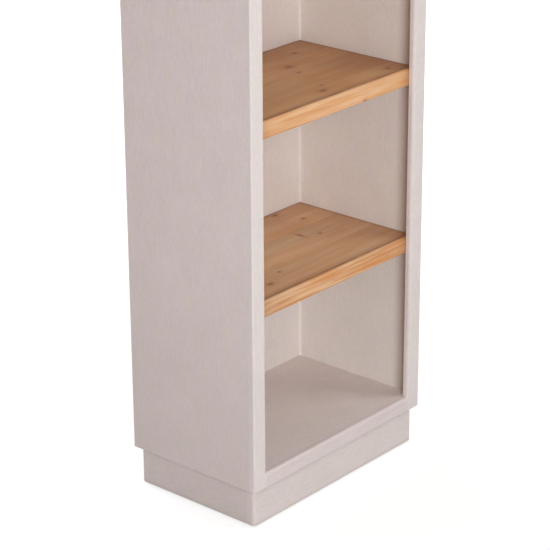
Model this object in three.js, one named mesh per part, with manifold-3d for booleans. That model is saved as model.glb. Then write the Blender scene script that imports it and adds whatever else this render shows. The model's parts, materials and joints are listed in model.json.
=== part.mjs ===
// Hidden door bookcase: a narrow painted bookcase with waxed pine shelves that covers an opening in a wall.
// It swings out from a slim timber frame on three butt hinges, rolls on castors hidden behind its plinth,
// and is let go by a push latch. Millimetres, +Z up, front towards -Y, origin in the middle of the footprint.
import * as THREE from 'three';
import { mergeVertices } from 'three/addons/utils/BufferGeometryUtils.js';
import Module from 'manifold-3d';

const wasm = await Module();
wasm.setup();

// Case: a box of painted boards with a face frame on its front
const caseWidth = 500;
const caseDepth = 310;
const sideThickness = 15;
const backThickness = 12;
const boardThickness = 31;
const faceThickness = 12;
const stileWidth = 35;
const edgeRadius = 5;

// Shelves, counted from the floor board up, and the cleats that carry them
const shelfCount = 4;
const shelfPitch = 340;
const shelfThickness = 33;
const shelfEndGap = 0.5;
const shelfFrontGap = 1;
const shelfBackGap = 1;
const shelfRadius = 4.5;
const shelfUnderRadius = 2;
const cleatWidth = 18;
const cleatHeight = 20;
const cleatFrontGap = 45;
const cleatBackGap = 16;

// Plinth, set back under the case and just clear of the floor
const plinthHeight = 75;
const plinthInset = 10;
const plinthThickness = 18;
const plinthRadius = 4.5;
const floorGap = 4;

// Wall frame behind the case
const postWidth = 40;
const postDepth = 30;
const headHeight = 45;
const frameDrop = 8;
const latchPostInset = 62;

// Butt hinges
const hingeEndDistance = 220;
const leafWidth = 36;
const leafHeight = 100;
const leafThickness = 2.5;
const leafGap = 0.6;
const knuckleCount = 5;
const knuckleRadius = 6;
const knuckleGap = 0.4;
const knuckleClearance = 0.5;
const pinRadius = 3;
const pinHeadRadius = 4.5;
const pinHeadHeight = 3;
const screwRadius = 2.4;
const screwHeadRadius = 4.4;
const screwEdge = 9;

// Castors
const castorPlateLength = 56;
const castorPlateWidth = 42;
const castorPlateThickness = 2.5;
const castorMargin = 4;
const forkThickness = 2.5;
const forkTopLength = 38;
const forkBossRadius = 8;
const wheelRadius = 25;
const wheelWidth = 18;
const wheelShoulder = 3;
const wheelHubRadius = 16;
const wheelHubRecess = 2;
const wheelBossRadius = 8;
const wheelSideGap = 0.6;
const axleRadius = 4;
const axleHeadRadius = 6.5;
const axleHeadHeight = 3.5;

// Push latch
const latchCentreHeight = 960;
const latchWidth = 16;
const latchDepth = 27;
const latchHeight = 60;
const latchRadius = 2;
const plungerRadius = 4;
const plungerLength = 19;
const plungerTravel = 3.5;
const keeperSize = 24;
const keeperThickness = 1.5;

// Clearances that are shared
const bearingGap = 0.3;
const seatGap = 0.3;
const cutOverrun = 2;

// Facets of the round forms
const cornerSegments = 4;
const roundSegments = 20;
const wheelSegments = 32;
const weldDistance = 1e-4;

// Levels and planes that follow from the sizes above
const caseBottom = floorGap + plinthHeight;
const floorTop = caseBottom + boardThickness;
const topUnderside = floorTop + (shelfCount + 1) * shelfPitch - shelfThickness;
const caseTop = topUnderside + boardThickness;
const innerLeft = sideThickness;
const innerRight = caseWidth - sideThickness;
const backFront = caseDepth - backThickness;
const postFront = caseDepth + 2 * leafThickness + leafGap;
const postBack = postFront + postDepth;
const postTop = caseTop - frameDrop;
const hingeAxis = new THREE.Vector2(
  caseWidth + knuckleRadius + knuckleClearance,
  caseDepth + leafThickness + leafGap / 2,
);
const footprint = new THREE.Vector2(hingeAxis.x + knuckleRadius, postBack);

// Finishes
const paint = new THREE.MeshStandardMaterial({ color: 0xe6dfdb, roughness: 0.62, metalness: 0 });
const waxedPine = new THREE.MeshStandardMaterial({ color: 0xd6a273, roughness: 0.5, metalness: 0 });
const framePine = new THREE.MeshStandardMaterial({ color: 0xdccfc0, roughness: 0.65, metalness: 0 });
const steel = new THREE.MeshStandardMaterial({ color: 0xb9bbbd, roughness: 0.35, metalness: 1 });
const nylon = new THREE.MeshStandardMaterial({ color: 0x4a4a4c, roughness: 0.55, metalness: 0 });
const latchPlastic = new THREE.MeshStandardMaterial({ color: 0xe9e7e2, roughness: 0.5, metalness: 0 });

// Directions that the extruded and turned forms are laid along
const AXIS_X = new THREE.Vector3(1, 0, 0);
const AXIS_Y = new THREE.Vector3(0, 1, 0);
const AXIS_Z = new THREE.Vector3(0, 0, 1);

// Turns a geometry so that its own x, y and z run along the three given directions.
function reaxis(geometry, x, y, z) {
  return geometry.applyMatrix4(new THREE.Matrix4().makeBasis(x, y, z));
}

function toSolid(geometry) {
  const plain = geometry.index ? geometry.toNonIndexed() : geometry.clone();
  plain.deleteAttribute('normal');
  plain.deleteAttribute('uv');
  const merged = mergeVertices(plain, weldDistance);
  return new wasm.Manifold(new wasm.Mesh({
    numProp: 3,
    vertProperties: merged.attributes.position.array,
    triVerts: new Uint32Array(merged.index.array),
  }));
}

function toGeometry(solid) {
  const mesh = solid.getMesh();
  const geometry = new THREE.BufferGeometry();
  geometry.setAttribute('position', new THREE.BufferAttribute(mesh.vertProperties, mesh.numProp));
  geometry.setIndex(new THREE.BufferAttribute(mesh.triVerts, 1));
  geometry.computeVertexNormals();
  return geometry;
}

function named(name, geometry, material) {
  const mesh = new THREE.Mesh(geometry, material);
  mesh.name = name;
  return mesh;
}

// A box from its lowest corner to its highest.
function block(low, high) {
  const size = high.map((value, i) => value - low[i]);
  return new THREE.BoxGeometry(...size).translate(...low.map((value, i) => value + size[i] / 2));
}

// A cylinder from one point along a direction, with its facets square to the named axes.
function rod(radius, length, direction) {
  const geometry = new THREE.CylinderGeometry(radius, radius, length, roundSegments);
  geometry.translate(0, length / 2, 0);
  if (direction === AXIS_X) return reaxis(geometry, AXIS_Y, AXIS_X, AXIS_Z.clone().negate());
  if (direction === AXIS_Z) return reaxis(geometry, AXIS_X, AXIS_Z, AXIS_Y.clone().negate());
  return geometry;
}

// A rectangle whose corners may each be round. Radii run anticlockwise from the lowest corner.
function rectangle(x0, y0, x1, y1, radii = [0, 0, 0, 0]) {
  const [lowLeft, lowRight, highRight, highLeft] = radii;
  const shape = new THREE.Shape();
  shape.moveTo(x0 + lowLeft, y0);
  shape.lineTo(x1 - lowRight, y0);
  if (lowRight) shape.absarc(x1 - lowRight, y0 + lowRight, lowRight, -Math.PI / 2, 0);
  shape.lineTo(x1, y1 - highRight);
  if (highRight) shape.absarc(x1 - highRight, y1 - highRight, highRight, 0, Math.PI / 2);
  shape.lineTo(x0 + highLeft, y1);
  if (highLeft) shape.absarc(x0 + highLeft, y1 - highLeft, highLeft, Math.PI / 2, Math.PI);
  shape.lineTo(x0, y0 + lowLeft);
  if (lowLeft) shape.absarc(x0 + lowLeft, y0 + lowLeft, lowLeft, Math.PI, 1.5 * Math.PI);
  return shape;
}

// An outline in plan, raised from one height to another.
function raised(shape, z0, z1) {
  const options = { depth: z1 - z0, bevelEnabled: false, curveSegments: cornerSegments };
  return new THREE.ExtrudeGeometry(shape, options).translate(0, 0, z0);
}

// An outline drawn in depth and height, run from one side to the other.
function runAcross(shape, x0, x1) {
  return reaxis(raised(shape, x0, x1), AXIS_Y, AXIS_Z, AXIS_X);
}

// The face frame is cut from one blank, so the round of its edges runs unbroken from stile to rail.
function faceFrame() {
  const outline = rectangle(0, caseBottom, caseWidth, caseTop);
  outline.holes.push(rectangle(stileWidth, floorTop, caseWidth - stileWidth, topUnderside));
  const blank = new THREE.ExtrudeGeometry(outline, {
    depth: faceThickness,
    bevelThickness: edgeRadius,
    bevelSize: edgeRadius,
    bevelOffset: -edgeRadius,
    bevelSegments: cornerSegments,
  });
  blank.translate(0, 0, -faceThickness);
  reaxis(blank, AXIS_X, AXIS_Z, AXIS_Y.clone().negate());
  const solid = toSolid(blank.translate(0, edgeRadius, 0));
  const stileInner = caseWidth - stileWidth;
  const members = {
    face_stile_left: [0, caseBottom, stileWidth, caseTop],
    face_stile_right: [stileInner, caseBottom, caseWidth, caseTop],
    face_rail_bottom: [stileWidth, caseBottom, stileInner, floorTop],
    face_rail_top: [stileWidth, topUnderside, stileInner, caseTop],
  };
  return Object.entries(members).map(([name, [x0, z0, x1, z1]]) => {
    const piece = solid.intersect(toSolid(block([x0, 0, z0], [x1, faceThickness, z1])));
    return named(name, toGeometry(piece), paint);
  });
}

function carcase() {
  const sideLow = [0, faceThickness, caseBottom];
  const rightLow = [innerRight, faceThickness, caseBottom];
  const boards = {
    side_left: block(sideLow, [innerLeft, caseDepth, caseTop]),
    side_right: block(rightLow, [caseWidth, caseDepth, caseTop]),
    floor_board: block([innerLeft, faceThickness, caseBottom], [innerRight, backFront, floorTop]),
    top_board: block([innerLeft, faceThickness, topUnderside], [innerRight, backFront, caseTop]),
    back_panel: block([innerLeft, backFront, caseBottom], [innerRight, caseDepth, caseTop]),
  };
  return Object.entries(boards).map(([name, geometry]) => named(name, geometry, paint));
}

// One pine shelf with its front arrises rounded, and the two cleats under its ends.
function shelf(number) {
  const top = floorTop + number * shelfPitch;
  const underside = top - shelfThickness;
  const front = faceThickness + shelfFrontGap;
  const back = backFront - shelfBackGap;
  const section = rectangle(front, underside, back, top, [shelfUnderRadius, 0, 0, shelfRadius]);
  const board = runAcross(section, innerLeft + shelfEndGap, innerRight - shelfEndGap);
  const cleatFront = faceThickness + cleatFrontGap;
  const cleatBack = backFront - cleatBackGap;
  const cleatUnderside = underside - cleatHeight;
  const cleat = (x0) => block([x0, cleatFront, cleatUnderside], [x0 + cleatWidth, cleatBack, underside]);
  return [
    named(`shelf_${number}`, board, waxedPine),
    named(`shelf_${number}_cleat_left`, cleat(innerLeft), paint),
    named(`shelf_${number}_cleat_right`, cleat(innerRight - cleatWidth), paint),
  ];
}

function plinth() {
  const [left, right] = [plinthInset, caseWidth - plinthInset];
  const [front, back] = [plinthInset, caseDepth - plinthInset];
  const frontInner = front + plinthThickness;
  const backInner = back - plinthThickness;
  const frontPlan = rectangle(left, front, right, frontInner, [plinthRadius, plinthRadius, 0, 0]);
  const backPlan = rectangle(left, backInner, right, back, [0, 0, plinthRadius, plinthRadius]);
  const end = (x0) => block([x0, frontInner, floorGap], [x0 + plinthThickness, backInner, caseBottom]);
  return [
    named('plinth_front', raised(frontPlan, floorGap, caseBottom), paint),
    named('plinth_back', raised(backPlan, floorGap, caseBottom), paint),
    named('plinth_left', end(left), paint),
    named('plinth_right', end(right - plinthThickness), paint),
  ];
}

function wallFrame() {
  const post = (x0) => block([x0, postFront, 0], [x0 + postWidth, postBack, postTop]);
  const headLow = [latchPostInset + postWidth, postFront, postTop - headHeight];
  const head = block(headLow, [caseWidth - postWidth, postBack, postTop]);
  return [
    named('hinge_post', post(caseWidth - postWidth), framePine),
    named('latch_post', post(latchPostInset), framePine),
    named('frame_head', head, framePine),
  ];
}

// One hinge leaf about its pin, which stands on the origin.
// Side is 1 for the post's leaf and -1 for the case's.
function hingeLeaf(side) {
  const innerY = (side * leafGap) / 2;
  const outerY = innerY + side * leafThickness;
  const [y0, y1] = [Math.min(innerY, outerY), Math.max(innerY, outerY)];
  const plateEdge = -(knuckleRadius + knuckleClearance);
  const plateEnd = plateEdge - leafWidth;
  const pitch = leafHeight / knuckleCount;
  let leaf = toSolid(block([plateEnd, y0, 0], [plateEdge, y1, leafHeight]));
  for (let i = side > 0 ? 0 : 1; i < knuckleCount; i += 2) {
    const z0 = i * pitch + (i > 0 ? knuckleGap / 2 : 0);
    const z1 = (i + 1) * pitch - (i < knuckleCount - 1 ? knuckleGap / 2 : 0);
    const web = block([plateEdge - leafThickness, y0, z0], [0, y1, z1]);
    const barrel = rod(knuckleRadius, z1 - z0, AXIS_Z).translate(0, 0, z0);
    leaf = leaf.add(toSolid(web)).add(toSolid(barrel));
  }
  const bore = rod(pinRadius + bearingGap, leafHeight + 2 * cutOverrun, AXIS_Z).translate(0, 0, -cutOverrun);
  leaf = leaf.subtract(toSolid(bore));
  for (const [x, z] of screwPlaces(plateEdge, plateEnd)) {
    leaf = leaf.subtract(toSolid(screwHole(side).translate(x, innerY, z)));
  }
  return leaf;
}

// Three screws in each leaf, the middle one further from the knuckle.
function screwPlaces(plateEdge, plateEnd) {
  return [
    [plateEdge - screwEdge, screwEdge],
    [plateEnd + screwEdge, leafHeight / 2],
    [plateEdge - screwEdge, leafHeight - screwEdge],
  ];
}

// A countersunk hole, widest at the leaf's inner face and running out through the outer one.
function screwHole(side) {
  const profile = [
    [0, -cutOverrun],
    [screwHeadRadius, -cutOverrun],
    [screwHeadRadius, 0],
    [screwRadius, screwHeadRadius - screwRadius],
    [screwRadius, leafThickness + cutOverrun],
    [0, leafThickness + cutOverrun],
  ];
  const hole = new THREE.LatheGeometry(profile.map(([r, h]) => new THREE.Vector2(r, h)), roundSegments);
  return side > 0 ? hole : hole.rotateX(Math.PI);
}

function hingePin() {
  const top = leafHeight + seatGap;
  const profile = [
    [0, -seatGap - pinHeadHeight],
    [pinHeadRadius, -seatGap - pinHeadHeight],
    [pinHeadRadius, -seatGap],
    [pinRadius, -seatGap],
    [pinRadius, top],
    [pinHeadRadius, top],
    [pinHeadRadius, top + pinHeadHeight],
    [0, top + pinHeadHeight],
  ];
  const pin = new THREE.LatheGeometry(profile.map(([r, h]) => new THREE.Vector2(r, h)), roundSegments);
  return reaxis(pin, AXIS_X, AXIS_Z, AXIS_Y.clone().negate());
}

function hinge(name, centreHeight) {
  const group = new THREE.Group();
  group.position.set(hingeAxis.x, hingeAxis.y, centreHeight - leafHeight / 2);
  group.add(
    named(`hinge_${name}_post_leaf`, toGeometry(hingeLeaf(1)), steel),
    named(`hinge_${name}_case_leaf`, toGeometry(hingeLeaf(-1)), steel),
    named(`hinge_${name}_pin`, hingePin(), steel),
  );
  return group;
}

function hinges() {
  const low = caseBottom + hingeEndDistance;
  const high = caseTop - hingeEndDistance;
  return [hinge('lower', low), hinge('middle', (low + high) / 2), hinge('upper', high)];
}

// The wheel runs on one of its facets, so its corners lie a little outside the running radius.
function castorWheel() {
  const rim = wheelRadius / Math.cos(Math.PI / wheelSegments);
  const half = wheelWidth / 2;
  const profile = [
    [axleRadius + bearingGap, -half],
    [wheelBossRadius, -half],
    [wheelBossRadius, -half + wheelHubRecess],
    [wheelHubRadius, -half + wheelHubRecess],
    [wheelHubRadius, -half],
    [rim - wheelShoulder, -half],
    [rim, -half + wheelShoulder],
    [rim, half - wheelShoulder],
    [rim - wheelShoulder, half],
    [wheelHubRadius, half],
    [wheelHubRadius, half - wheelHubRecess],
    [wheelBossRadius, half - wheelHubRecess],
    [wheelBossRadius, half],
    [axleRadius + bearingGap, half],
    [axleRadius + bearingGap, -half],
  ];
  const points = profile.map(([r, h]) => new THREE.Vector2(r, h));
  const wheel = new THREE.LatheGeometry(points, wheelSegments, Math.PI / wheelSegments);
  return reaxis(wheel, AXIS_Y, AXIS_X, AXIS_Z.clone().negate()).translate(0, 0, wheelRadius);
}

// Pressed steel fork: a top plate and two legs that narrow to the axle.
function castorFork() {
  const top = caseBottom - seatGap;
  const plateUnderside = top - castorPlateThickness;
  const legInner = wheelWidth / 2 + wheelSideGap;
  const leg = new THREE.Shape();
  leg.moveTo(forkBossRadius, wheelRadius);
  leg.lineTo(forkTopLength / 2, plateUnderside + castorPlateThickness / 2);
  leg.lineTo(-forkTopLength / 2, plateUnderside + castorPlateThickness / 2);
  leg.lineTo(-forkBossRadius, wheelRadius);
  leg.absarc(0, wheelRadius, forkBossRadius, Math.PI, 2 * Math.PI);
  const plateCorner = [castorPlateWidth / 2, castorPlateLength / 2];
  let fork = toSolid(block([-plateCorner[0], -plateCorner[1], plateUnderside], [...plateCorner, top]));
  for (const x0 of [-legInner - forkThickness, legInner]) {
    fork = fork.add(toSolid(runAcross(leg, x0, x0 + forkThickness)));
  }
  const reach = legInner + forkThickness + cutOverrun;
  const bore = rod(axleRadius + bearingGap, 2 * reach, AXIS_X).translate(-reach, 0, wheelRadius);
  return toGeometry(fork.subtract(toSolid(bore)));
}

function castorAxle() {
  const shaft = wheelWidth / 2 + wheelSideGap + forkThickness + seatGap;
  const profile = [
    [0, -shaft - axleHeadHeight],
    [axleHeadRadius, -shaft - axleHeadHeight],
    [axleHeadRadius, -shaft],
    [axleRadius, -shaft],
    [axleRadius, shaft],
    [axleHeadRadius, shaft],
    [axleHeadRadius, shaft + axleHeadHeight],
    [0, shaft + axleHeadHeight],
  ];
  const axle = new THREE.LatheGeometry(profile.map(([r, h]) => new THREE.Vector2(r, h)), roundSegments);
  return reaxis(axle, AXIS_Y, AXIS_X, AXIS_Z.clone().negate()).translate(0, 0, wheelRadius);
}

// Each castor is turned so that its axle points at the hinge pins and its wheel follows the swing.
function castor(name, x, y) {
  const group = new THREE.Group();
  group.position.set(x, y, 0);
  group.rotation.z = Math.atan2(hingeAxis.y - y, hingeAxis.x - x);
  group.add(
    named(`castor_${name}_fork`, castorFork(), steel),
    named(`castor_${name}_axle`, castorAxle(), steel),
    named(`castor_${name}_wheel`, castorWheel(), nylon),
  );
  return group;
}

function castors() {
  const reach = Math.hypot(castorPlateLength, castorPlateWidth) / 2;
  const inset = plinthInset + plinthThickness + castorMargin + reach;
  return [
    castor('front_left', inset, inset),
    castor('front_right', caseWidth - inset, inset),
    castor('rear_left', inset, caseDepth - inset),
    castor('rear_right', caseWidth - inset, caseDepth - inset),
  ];
}

// The latch stands on the inner face of its post, and its plunger meets a steel keeper on the back panel.
function pushLatch() {
  const x0 = latchPostInset + postWidth;
  const x1 = x0 + latchWidth;
  const centreX = (x0 + x1) / 2;
  const z0 = latchCentreHeight - latchHeight / 2;
  const plan = rectangle(x0, postFront, x1, postFront + latchDepth, [0, latchRadius, latchRadius, 0]);
  const tip = caseDepth + keeperThickness + seatGap;
  const boreEnd = tip + plungerLength + plungerTravel + seatGap;
  const bore = rod(plungerRadius + bearingGap, boreEnd - postFront + cutOverrun, AXIS_Y);
  bore.translate(centreX, postFront - cutOverrun, latchCentreHeight);
  const housing = toSolid(raised(plan, z0, z0 + latchHeight)).subtract(toSolid(bore));
  const plunger = rod(plungerRadius, plungerLength, AXIS_Y).translate(centreX, tip, latchCentreHeight);
  const keeperLow = [centreX - keeperSize / 2, caseDepth, latchCentreHeight - keeperSize / 2];
  const keeperHigh = keeperLow.map((value, i) => value + (i === 1 ? keeperThickness : keeperSize));
  return [
    named('latch_housing', toGeometry(housing), latchPlastic),
    named('latch_plunger', plunger, latchPlastic),
    named('latch_keeper', block(keeperLow, keeperHigh), steel),
  ];
}

const bookcase = new THREE.Group();
bookcase.position.set(-footprint.x / 2, -footprint.y / 2, 0);
bookcase.add(...faceFrame(), ...carcase(), ...plinth(), ...wallFrame(), ...pushLatch());
for (let number = 1; number <= shelfCount; number += 1) bookcase.add(...shelf(number));
bookcase.add(...hinges(), ...castors());

export default bookcase;
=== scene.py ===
"""Hidden door bookcase, dressed: painted case, waxed pine shelves, ironwork behind and under it."""
import json
import logging
import math
from contextlib import contextmanager
from dataclasses import dataclass, field
from enum import Enum
from functools import cache
from typing import Any, Callable, Iterator, Sequence

import bmesh
import bpy
from mathutils import Matrix, Vector


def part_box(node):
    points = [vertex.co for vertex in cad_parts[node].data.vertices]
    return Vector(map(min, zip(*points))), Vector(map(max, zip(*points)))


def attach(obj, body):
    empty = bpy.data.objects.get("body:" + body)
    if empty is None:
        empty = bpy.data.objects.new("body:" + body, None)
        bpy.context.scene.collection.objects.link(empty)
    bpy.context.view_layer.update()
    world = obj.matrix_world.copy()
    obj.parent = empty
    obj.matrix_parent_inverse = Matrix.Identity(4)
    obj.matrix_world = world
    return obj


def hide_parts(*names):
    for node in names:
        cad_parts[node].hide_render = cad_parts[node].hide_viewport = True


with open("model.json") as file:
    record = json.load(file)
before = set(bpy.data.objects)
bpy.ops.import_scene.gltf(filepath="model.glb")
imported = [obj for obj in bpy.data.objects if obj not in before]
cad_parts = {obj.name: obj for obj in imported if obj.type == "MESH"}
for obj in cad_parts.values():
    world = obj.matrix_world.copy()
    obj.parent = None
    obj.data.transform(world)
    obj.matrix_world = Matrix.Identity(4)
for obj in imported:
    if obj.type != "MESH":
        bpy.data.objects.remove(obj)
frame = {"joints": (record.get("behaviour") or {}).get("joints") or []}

LOG = logging.getLogger("bookcase")

MM = 0.001
NEAR = 0.02 * MM
WELD = NEAR / 10
SMOOTH_UNDER = math.radians(40)
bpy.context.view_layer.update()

Colour = tuple[float, float, float]
Marks = tuple[float, float, float]
Span = tuple[float, float]
Socket = bpy.types.NodeSocket
Place = tuple[Socket, Socket, Socket]
WHITE: Colour = (1.0, 1.0, 1.0)


class Face(Enum):
    """A side of a box: the axis it is square to, and which end of that axis it is."""

    LEFT = (0, 0)
    RIGHT = (0, 1)
    FRONT = (1, 0)
    BACK = (1, 1)
    BOTTOM = (2, 0)
    TOP = (2, 1)

    @property
    def way(self) -> Vector:
        """The direction that the side looks in.

        Returns:
            A vector one metre long.
        """
        axis, end = self.value
        way = Vector((0, 0, 0))
        way[axis] = 1 if end else -1
        return way


class Run(Enum):
    """The way that a board's grain, a brush or a bar runs."""

    ACROSS = 0
    DEEP = 1
    UPRIGHT = 2


class Body(Enum):
    """The moving bodies that pieces ride on."""

    FRAME = "wall_frame"
    CASE = "bookcase"
    PLUNGER = "latch_plunger"


Arris = tuple[Face, Face]


@dataclass(frozen=True)
class Box:
    """A box that stands square to the axes, in metres."""

    low: Vector
    high: Vector

    @classmethod
    def of(cls, node: str) -> "Box":
        """The box of a CAD node at rest.

        Args:
            node: the node's name.

        Returns:
            Its box.
        """
        low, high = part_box(node)
        return cls(Vector(low), Vector(high))

    @property
    def centre(self) -> Vector:
        """The middle of the box."""
        return (self.low + self.high) / 2

    @property
    def size(self) -> Vector:
        """Its width, depth and height."""
        return self.high - self.low

    def level(self, face: Face) -> float:
        """Where one of its faces lies on that face's axis."""
        axis, end = face.value
        return (self.low, self.high)[end][axis]

    def holds(self, edge: bmesh.types.BMEdge, *faces: Face) -> bool:
        """Whether an edge lies level with some of the box's faces.

        Args:
            edge: the edge.
            faces: the faces.

        Returns:
            Whether both its ends are level with all of them.
        """
        return all(
            abs(vertex.co[face.value[0]] - self.level(face)) < NEAR for vertex in edge.verts for face in faces
        )


def clear_bench() -> None:
    """Leaves nothing selected, so that a tool acts on one piece alone."""
    bpy.ops.object.select_all(action="DESELECT")


def linear(red: int, green: int, blue: int) -> Colour:
    """A colour read off a screen, as the light that it stands for.

    Args:
        red, green, blue: from 0 to 255.

    Returns:
        The same colour in linear light, by the usual curve of screens.
    """
    shares = [value / 255 for value in (red, green, blue)]
    return tuple(s / 12.92 if s <= 0.04045 else ((s + 0.055) / 1.055) ** 2.4 for s in shares)


class Workpiece:
    """One mesh object on the bench, shaped with Blender's own tools."""

    def __init__(self, obj: bpy.types.Object, name: str) -> None:
        """Takes an object in hand.

        Args:
            obj: the object.
            name: what to call it.
        """
        self.obj = obj
        obj.name = name
        obj.data.name = name

    @classmethod
    def block(cls, name: str, box: Box) -> "Workpiece":
        """A block that fills a box.

        Args:
            name: the piece's name.
            box: the box that it fills.

        Returns:
            The block.
        """
        clear_bench()
        bpy.ops.mesh.primitive_cube_add(size=1, location=box.centre)
        bpy.context.object.scale = box.size
        bpy.ops.object.transform_apply(location=True, rotation=True, scale=True)
        return cls(bpy.context.object, name)

    @classmethod
    def turned(
        cls, name: str, profile: Sequence[tuple[float, float]], place: Matrix, steps: int = 48
    ) -> "Workpiece":
        """A piece turned on a lathe.

        Args:
            name: the piece's name.
            profile: radius and height, point by point, in metres.
            place: carries the lathe's axis, upright at the origin, to the piece's place.
            steps: how many sides the round has.

        Returns:
            The turned piece.
        """
        points = [(radius, 0.0, height) for radius, height in profile]
        mesh = bpy.data.meshes.new(name)
        mesh.from_pydata(points, [(i, i + 1) for i in range(len(points) - 1)], [])
        obj = bpy.data.objects.new(name, mesh)
        bpy.context.collection.objects.link(obj)
        piece = cls(obj, name)
        with piece.editing():
            bpy.ops.mesh.select_all(action="SELECT")
            bpy.ops.mesh.spin(steps=steps, angle=math.tau, center=(0, 0, 0), axis=(0, 0, 1))
            bpy.ops.mesh.select_all(action="SELECT")
            bpy.ops.mesh.remove_doubles(threshold=WELD)
            bpy.ops.mesh.normals_make_consistent(inside=False)
        mesh.transform(place)
        return piece

    def hold(self) -> None:
        """Selects the piece and no other."""
        clear_bench()
        bpy.context.view_layer.objects.active = self.obj
        self.obj.select_set(True)

    @contextmanager
    def editing(self) -> Iterator[None]:
        """Opens the piece in edit mode with nothing picked, and closes it again.

        Yields:
            Nothing, while the piece is open.
        """
        self.hold()
        bpy.ops.object.mode_set(mode="EDIT")
        bpy.ops.mesh.select_all(action="DESELECT")
        yield
        bpy.ops.object.mode_set(mode="OBJECT")

    def pick(self, kind: str, test: Callable[[Any], bool]) -> None:
        """Picks the vertices, edges or faces that pass a test, and no others.

        Args:
            kind: VERT, EDGE or FACE.
            test: says whether an element is picked.
        """
        bpy.ops.mesh.select_mode(type=kind)
        bpy.ops.mesh.select_all(action="DESELECT")
        mesh = bmesh.from_edit_mesh(self.obj.data)
        for element in {"VERT": mesh.verts, "EDGE": mesh.edges, "FACE": mesh.faces}[kind]:
            if test(element):
                element.select_set(True)
        bmesh.update_edit_mesh(self.obj.data)

    def ease(
        self, box: Box, arrises: Sequence[Arris], radius: float, segments: int = 4, profile: float = 0.5
    ) -> "Workpiece":
        """Rounds arrises, each named by the two faces of the box that meet there.

        Args:
            box: the box that the piece filled.
            arrises: the arrises to round.
            radius: in metres.
            segments: facets in each round.
            profile: a half for a round, and less for a hollow.

        Returns:
            The piece itself.
        """
        with self.editing():
            self.pick("EDGE", lambda edge: any(box.holds(edge, *arris) for arris in arrises))
            bpy.ops.mesh.bevel(offset=radius, segments=segments, profile=profile, affect="EDGES")
        return self

    def score(self, lines: Sequence[tuple[Vector, Vector]]) -> None:
        """Marks the piece all round with edges where planes cut it.

        Args:
            lines: a point on each plane and its normal.
        """
        for point, normal in lines:
            bpy.ops.mesh.select_all(action="SELECT")
            bpy.ops.mesh.bisect(plane_co=point, plane_no=normal, threshold=WELD)

    def part(self, name: str, keep: Callable[[Vector], bool]) -> "Workpiece":
        """Takes a copy of the faces whose middle passes a test, and closes its cuts.

        Args:
            name: the new piece's name.
            keep: says from its middle whether a face is kept.

        Returns:
            The new piece.
        """
        piece = self.copy(name)
        with piece.editing():
            piece.pick("FACE", lambda face: not keep(face.calc_center_median()))
            bpy.ops.mesh.delete(type="FACE")
            bpy.ops.mesh.select_all(action="SELECT")
            bpy.ops.mesh.fill_holes(sides=0)
            bpy.ops.mesh.select_all(action="SELECT")
            bpy.ops.mesh.normals_make_consistent(inside=False)
        return piece

    def tool(self, other: "Workpiece", operation: str) -> "Workpiece":
        """Joins another piece to this one, or cuts it away, and uses that piece up.

        Args:
            other: the other piece.
            operation: UNION or DIFFERENCE.

        Returns:
            The piece itself.
        """
        modifier = self.obj.modifiers.new("tool", "BOOLEAN")
        modifier.operation = operation
        modifier.solver = "EXACT"
        modifier.object = other.obj
        self.apply(modifier)
        other.scrap()
        with self.editing():
            bpy.ops.mesh.select_all(action="SELECT")
            bpy.ops.mesh.remove_doubles(threshold=WELD)
            bpy.ops.mesh.dissolve_degenerate(threshold=WELD)
        return self

    def apply(self, modifier: bpy.types.Modifier) -> None:
        """Works a modifier into the mesh."""
        self.hold()
        bpy.ops.object.modifier_apply(modifier=modifier.name)

    def copy(self, name: str, place: Matrix = Matrix.Identity(4)) -> "Workpiece":
        """A copy with a mesh of its own.

        Args:
            name: the copy's name.
            place: where it goes from here.

        Returns:
            The copy.
        """
        obj = self.obj.copy()
        obj.data = self.obj.data.copy()
        obj.data.transform(place)
        bpy.context.collection.objects.link(obj)
        return Workpiece(obj, name)

    def gather(self, others: Sequence["Workpiece"]) -> "Workpiece":
        """Takes loose pieces of the same kind into this one.

        Args:
            others: the pieces, which are used up.

        Returns:
            The piece itself.
        """
        self.hold()
        for piece in others:
            piece.obj.select_set(True)
        bpy.ops.object.join()
        return self

    def scrap(self) -> None:
        """Throws the piece away."""
        mesh = self.obj.data
        bpy.data.objects.remove(self.obj)
        bpy.data.meshes.remove(mesh)

    def fit(self, finish: "Finish", body: str, nodes: Sequence[str] = ()) -> bpy.types.Object:
        """Smooths the rounds, dresses the piece and hangs it on its body.

        Args:
            finish: what the piece is finished with.
            body: the body that it rides on.
            nodes: the CAD nodes that it stands for.

        Returns:
            The finished object.
        """
        self.hold()
        bpy.ops.object.shade_smooth_by_angle(angle=SMOOTH_UNDER)
        even = self.obj.modifiers.new("even", "WEIGHTED_NORMAL")
        even.keep_sharp = True
        self.apply(even)
        self.obj.data.materials.clear()
        self.obj.data.materials.append(dressing(finish))
        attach(self.obj, body)
        if nodes:
            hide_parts(*nodes)
        LOG.info("%s rides on %s", self.obj.name, body)
        return self.obj


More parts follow.
